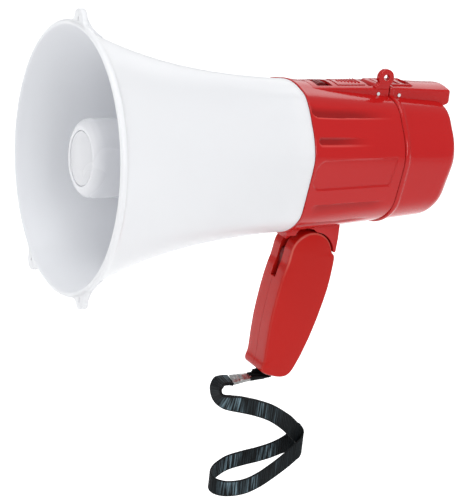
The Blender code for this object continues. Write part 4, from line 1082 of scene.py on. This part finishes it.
# CAD nodes that stay get their finished materials
KEPT = {
    RED: ["control_plate"],
    TRIGGER_SHADED_RED: ["trigger"],
    CUP_WHITE: ["throat_tube"],
    WHEEL_RED: ["volume_wheel"],
    BLACK: ["driver_cap", "filter_capacitor", "volume_pot", "battery_holder",
            "mic_grille", "mode_switch", "trigger_switch"],
    RUBBER: ["seal_ring"],
    STEEL: ["top_plate", "magnet_yoke", "wheel_axle", "bracket_screw_left",
            "bracket_screw_right", "grip_screw_upper", "grip_screw_lower", "hinge_pin",
            "trigger_pin", "lanyard_bar"],
    PIN: ["latch_pin", "catch_pin"],
    SPRING: ["contact_ring_front", "contact_ring_rear", "trigger_spring"],
    FERRITE: ["ring_magnet"],
    PHENOLIC: ["diaphragm"],
    BOARD: ["amplifier_board"],
    ALUMINIUM: ["heat_sink", "mic_capsule"],
    COPPER: ["output_transformer"],
    JACKET: ["cell_%d" % k for k in range(1, 7)],
    FOAM: ["mic_foam"],
}
for mat, names in KEPT.items():
    for nm in names:
        for slot in NODES[nm].material_slots:
            slot.material = mat


# ---- camera
def camera():
    """Telephoto view from the right and a little above, rolled as in the photograph."""
    az, el, roll = math.radians(61.5), math.radians(16.6), math.radians(6.55)
    back = Vector((math.sin(az) * math.cos(el), -math.cos(az) * math.cos(el), math.sin(el)))
    right = Vector((math.cos(az), math.sin(az), 0.0))
    up = back.cross(right)
    r2 = right * math.cos(roll) + up * math.sin(roll)
    u2 = up * math.cos(roll) - right * math.sin(roll)
    pos = Vector((1.40365, -0.81363, 0.51894))
    cam = bpy.data.cameras.new("camera")
    cam.sensor_fit, cam.sensor_width, cam.lens = "HORIZONTAL", 36.0, 165.9
    cam.clip_start, cam.clip_end = 0.05, 100.0
    ob = add("camera", cam)
    ob.matrix_world = Matrix(((r2.x, u2.x, back.x, pos.x), (r2.y, u2.y, back.y, pos.y),
                              (r2.z, u2.z, back.z, pos.z), (0, 0, 0, 1)))
    scene.camera = ob


# ---- studio
def area(name, pos, aim, size, power):
    light = bpy.data.lights.new(name, "AREA")
    light.shape, light.size, light.energy = "SQUARE", size, power
    ob = add(name, light)
    ob.location = pos
    ob.rotation_euler = (Vector(aim) - Vector(pos)).to_track_quat("-Z", "Y").to_euler()


def studio():
    floor = bpy.data.meshes.new("floor")
    half, z = 30.0, -0.62
    corners = [(-half, -half, z), (half, -half, z), (half, half, z), (-half, half, z)]
    floor.from_pydata(corners, [], [(0, 1, 2, 3)])
    m = Mat("floor_white", (0.93, 0.93, 0.93), 0.7, spec=0.0)
    m.tint(2.0, 0.004)
    # the backdrop behind the object is lit from below, as on a light table
    sep = m.node("ShaderNodeSeparateXYZ")
    m.link(m.coord, sep.inputs["Vector"])
    away = m.math("ADD", m.math("MULTIPLY", sep.outputs["X"], -0.88),
                  m.math("MULTIPLY", sep.outputs["Y"], 0.48))
    m.bsdf.inputs["Emission Color"].default_value = (1, 1, 1, 1)
    m.link(m.ramp(away, 0.30, 1.1, 0.0, 0.62), m.bsdf.inputs["Emission Strength"])
    floor.materials.append(m.mat)
    ob = add("floor", floor)
    sun = bpy.data.lights.new("overhead", "SUN")
    sun.energy, sun.angle = 1.22, math.radians(50)
    add("overhead", sun).rotation_euler = (math.radians(6), math.radians(8), 0)
    area("key", (2.45, -0.10, 1.15), (0, 0.0, 0.08), 1.2, 21)
    area("front_left", (-0.7, -2.3, 1.1), (0, -0.15, 0.12), 1.8, 13)
    area("rear_fill", (-2.2, 1.6, 1.3), (0, 0.0, 0.08), 1.6, 8)
    w = bpy.data.worlds.new("studio")
    w.use_nodes = True
    put(w.node_tree.nodes["Background"], {"Color": (0.95, 0.97, 1.0, 1), "Strength": 0.40})
    scene.world = w
    scene.view_settings.view_transform = "Standard"
    scene.view_settings.look = "None"


camera()
studio()
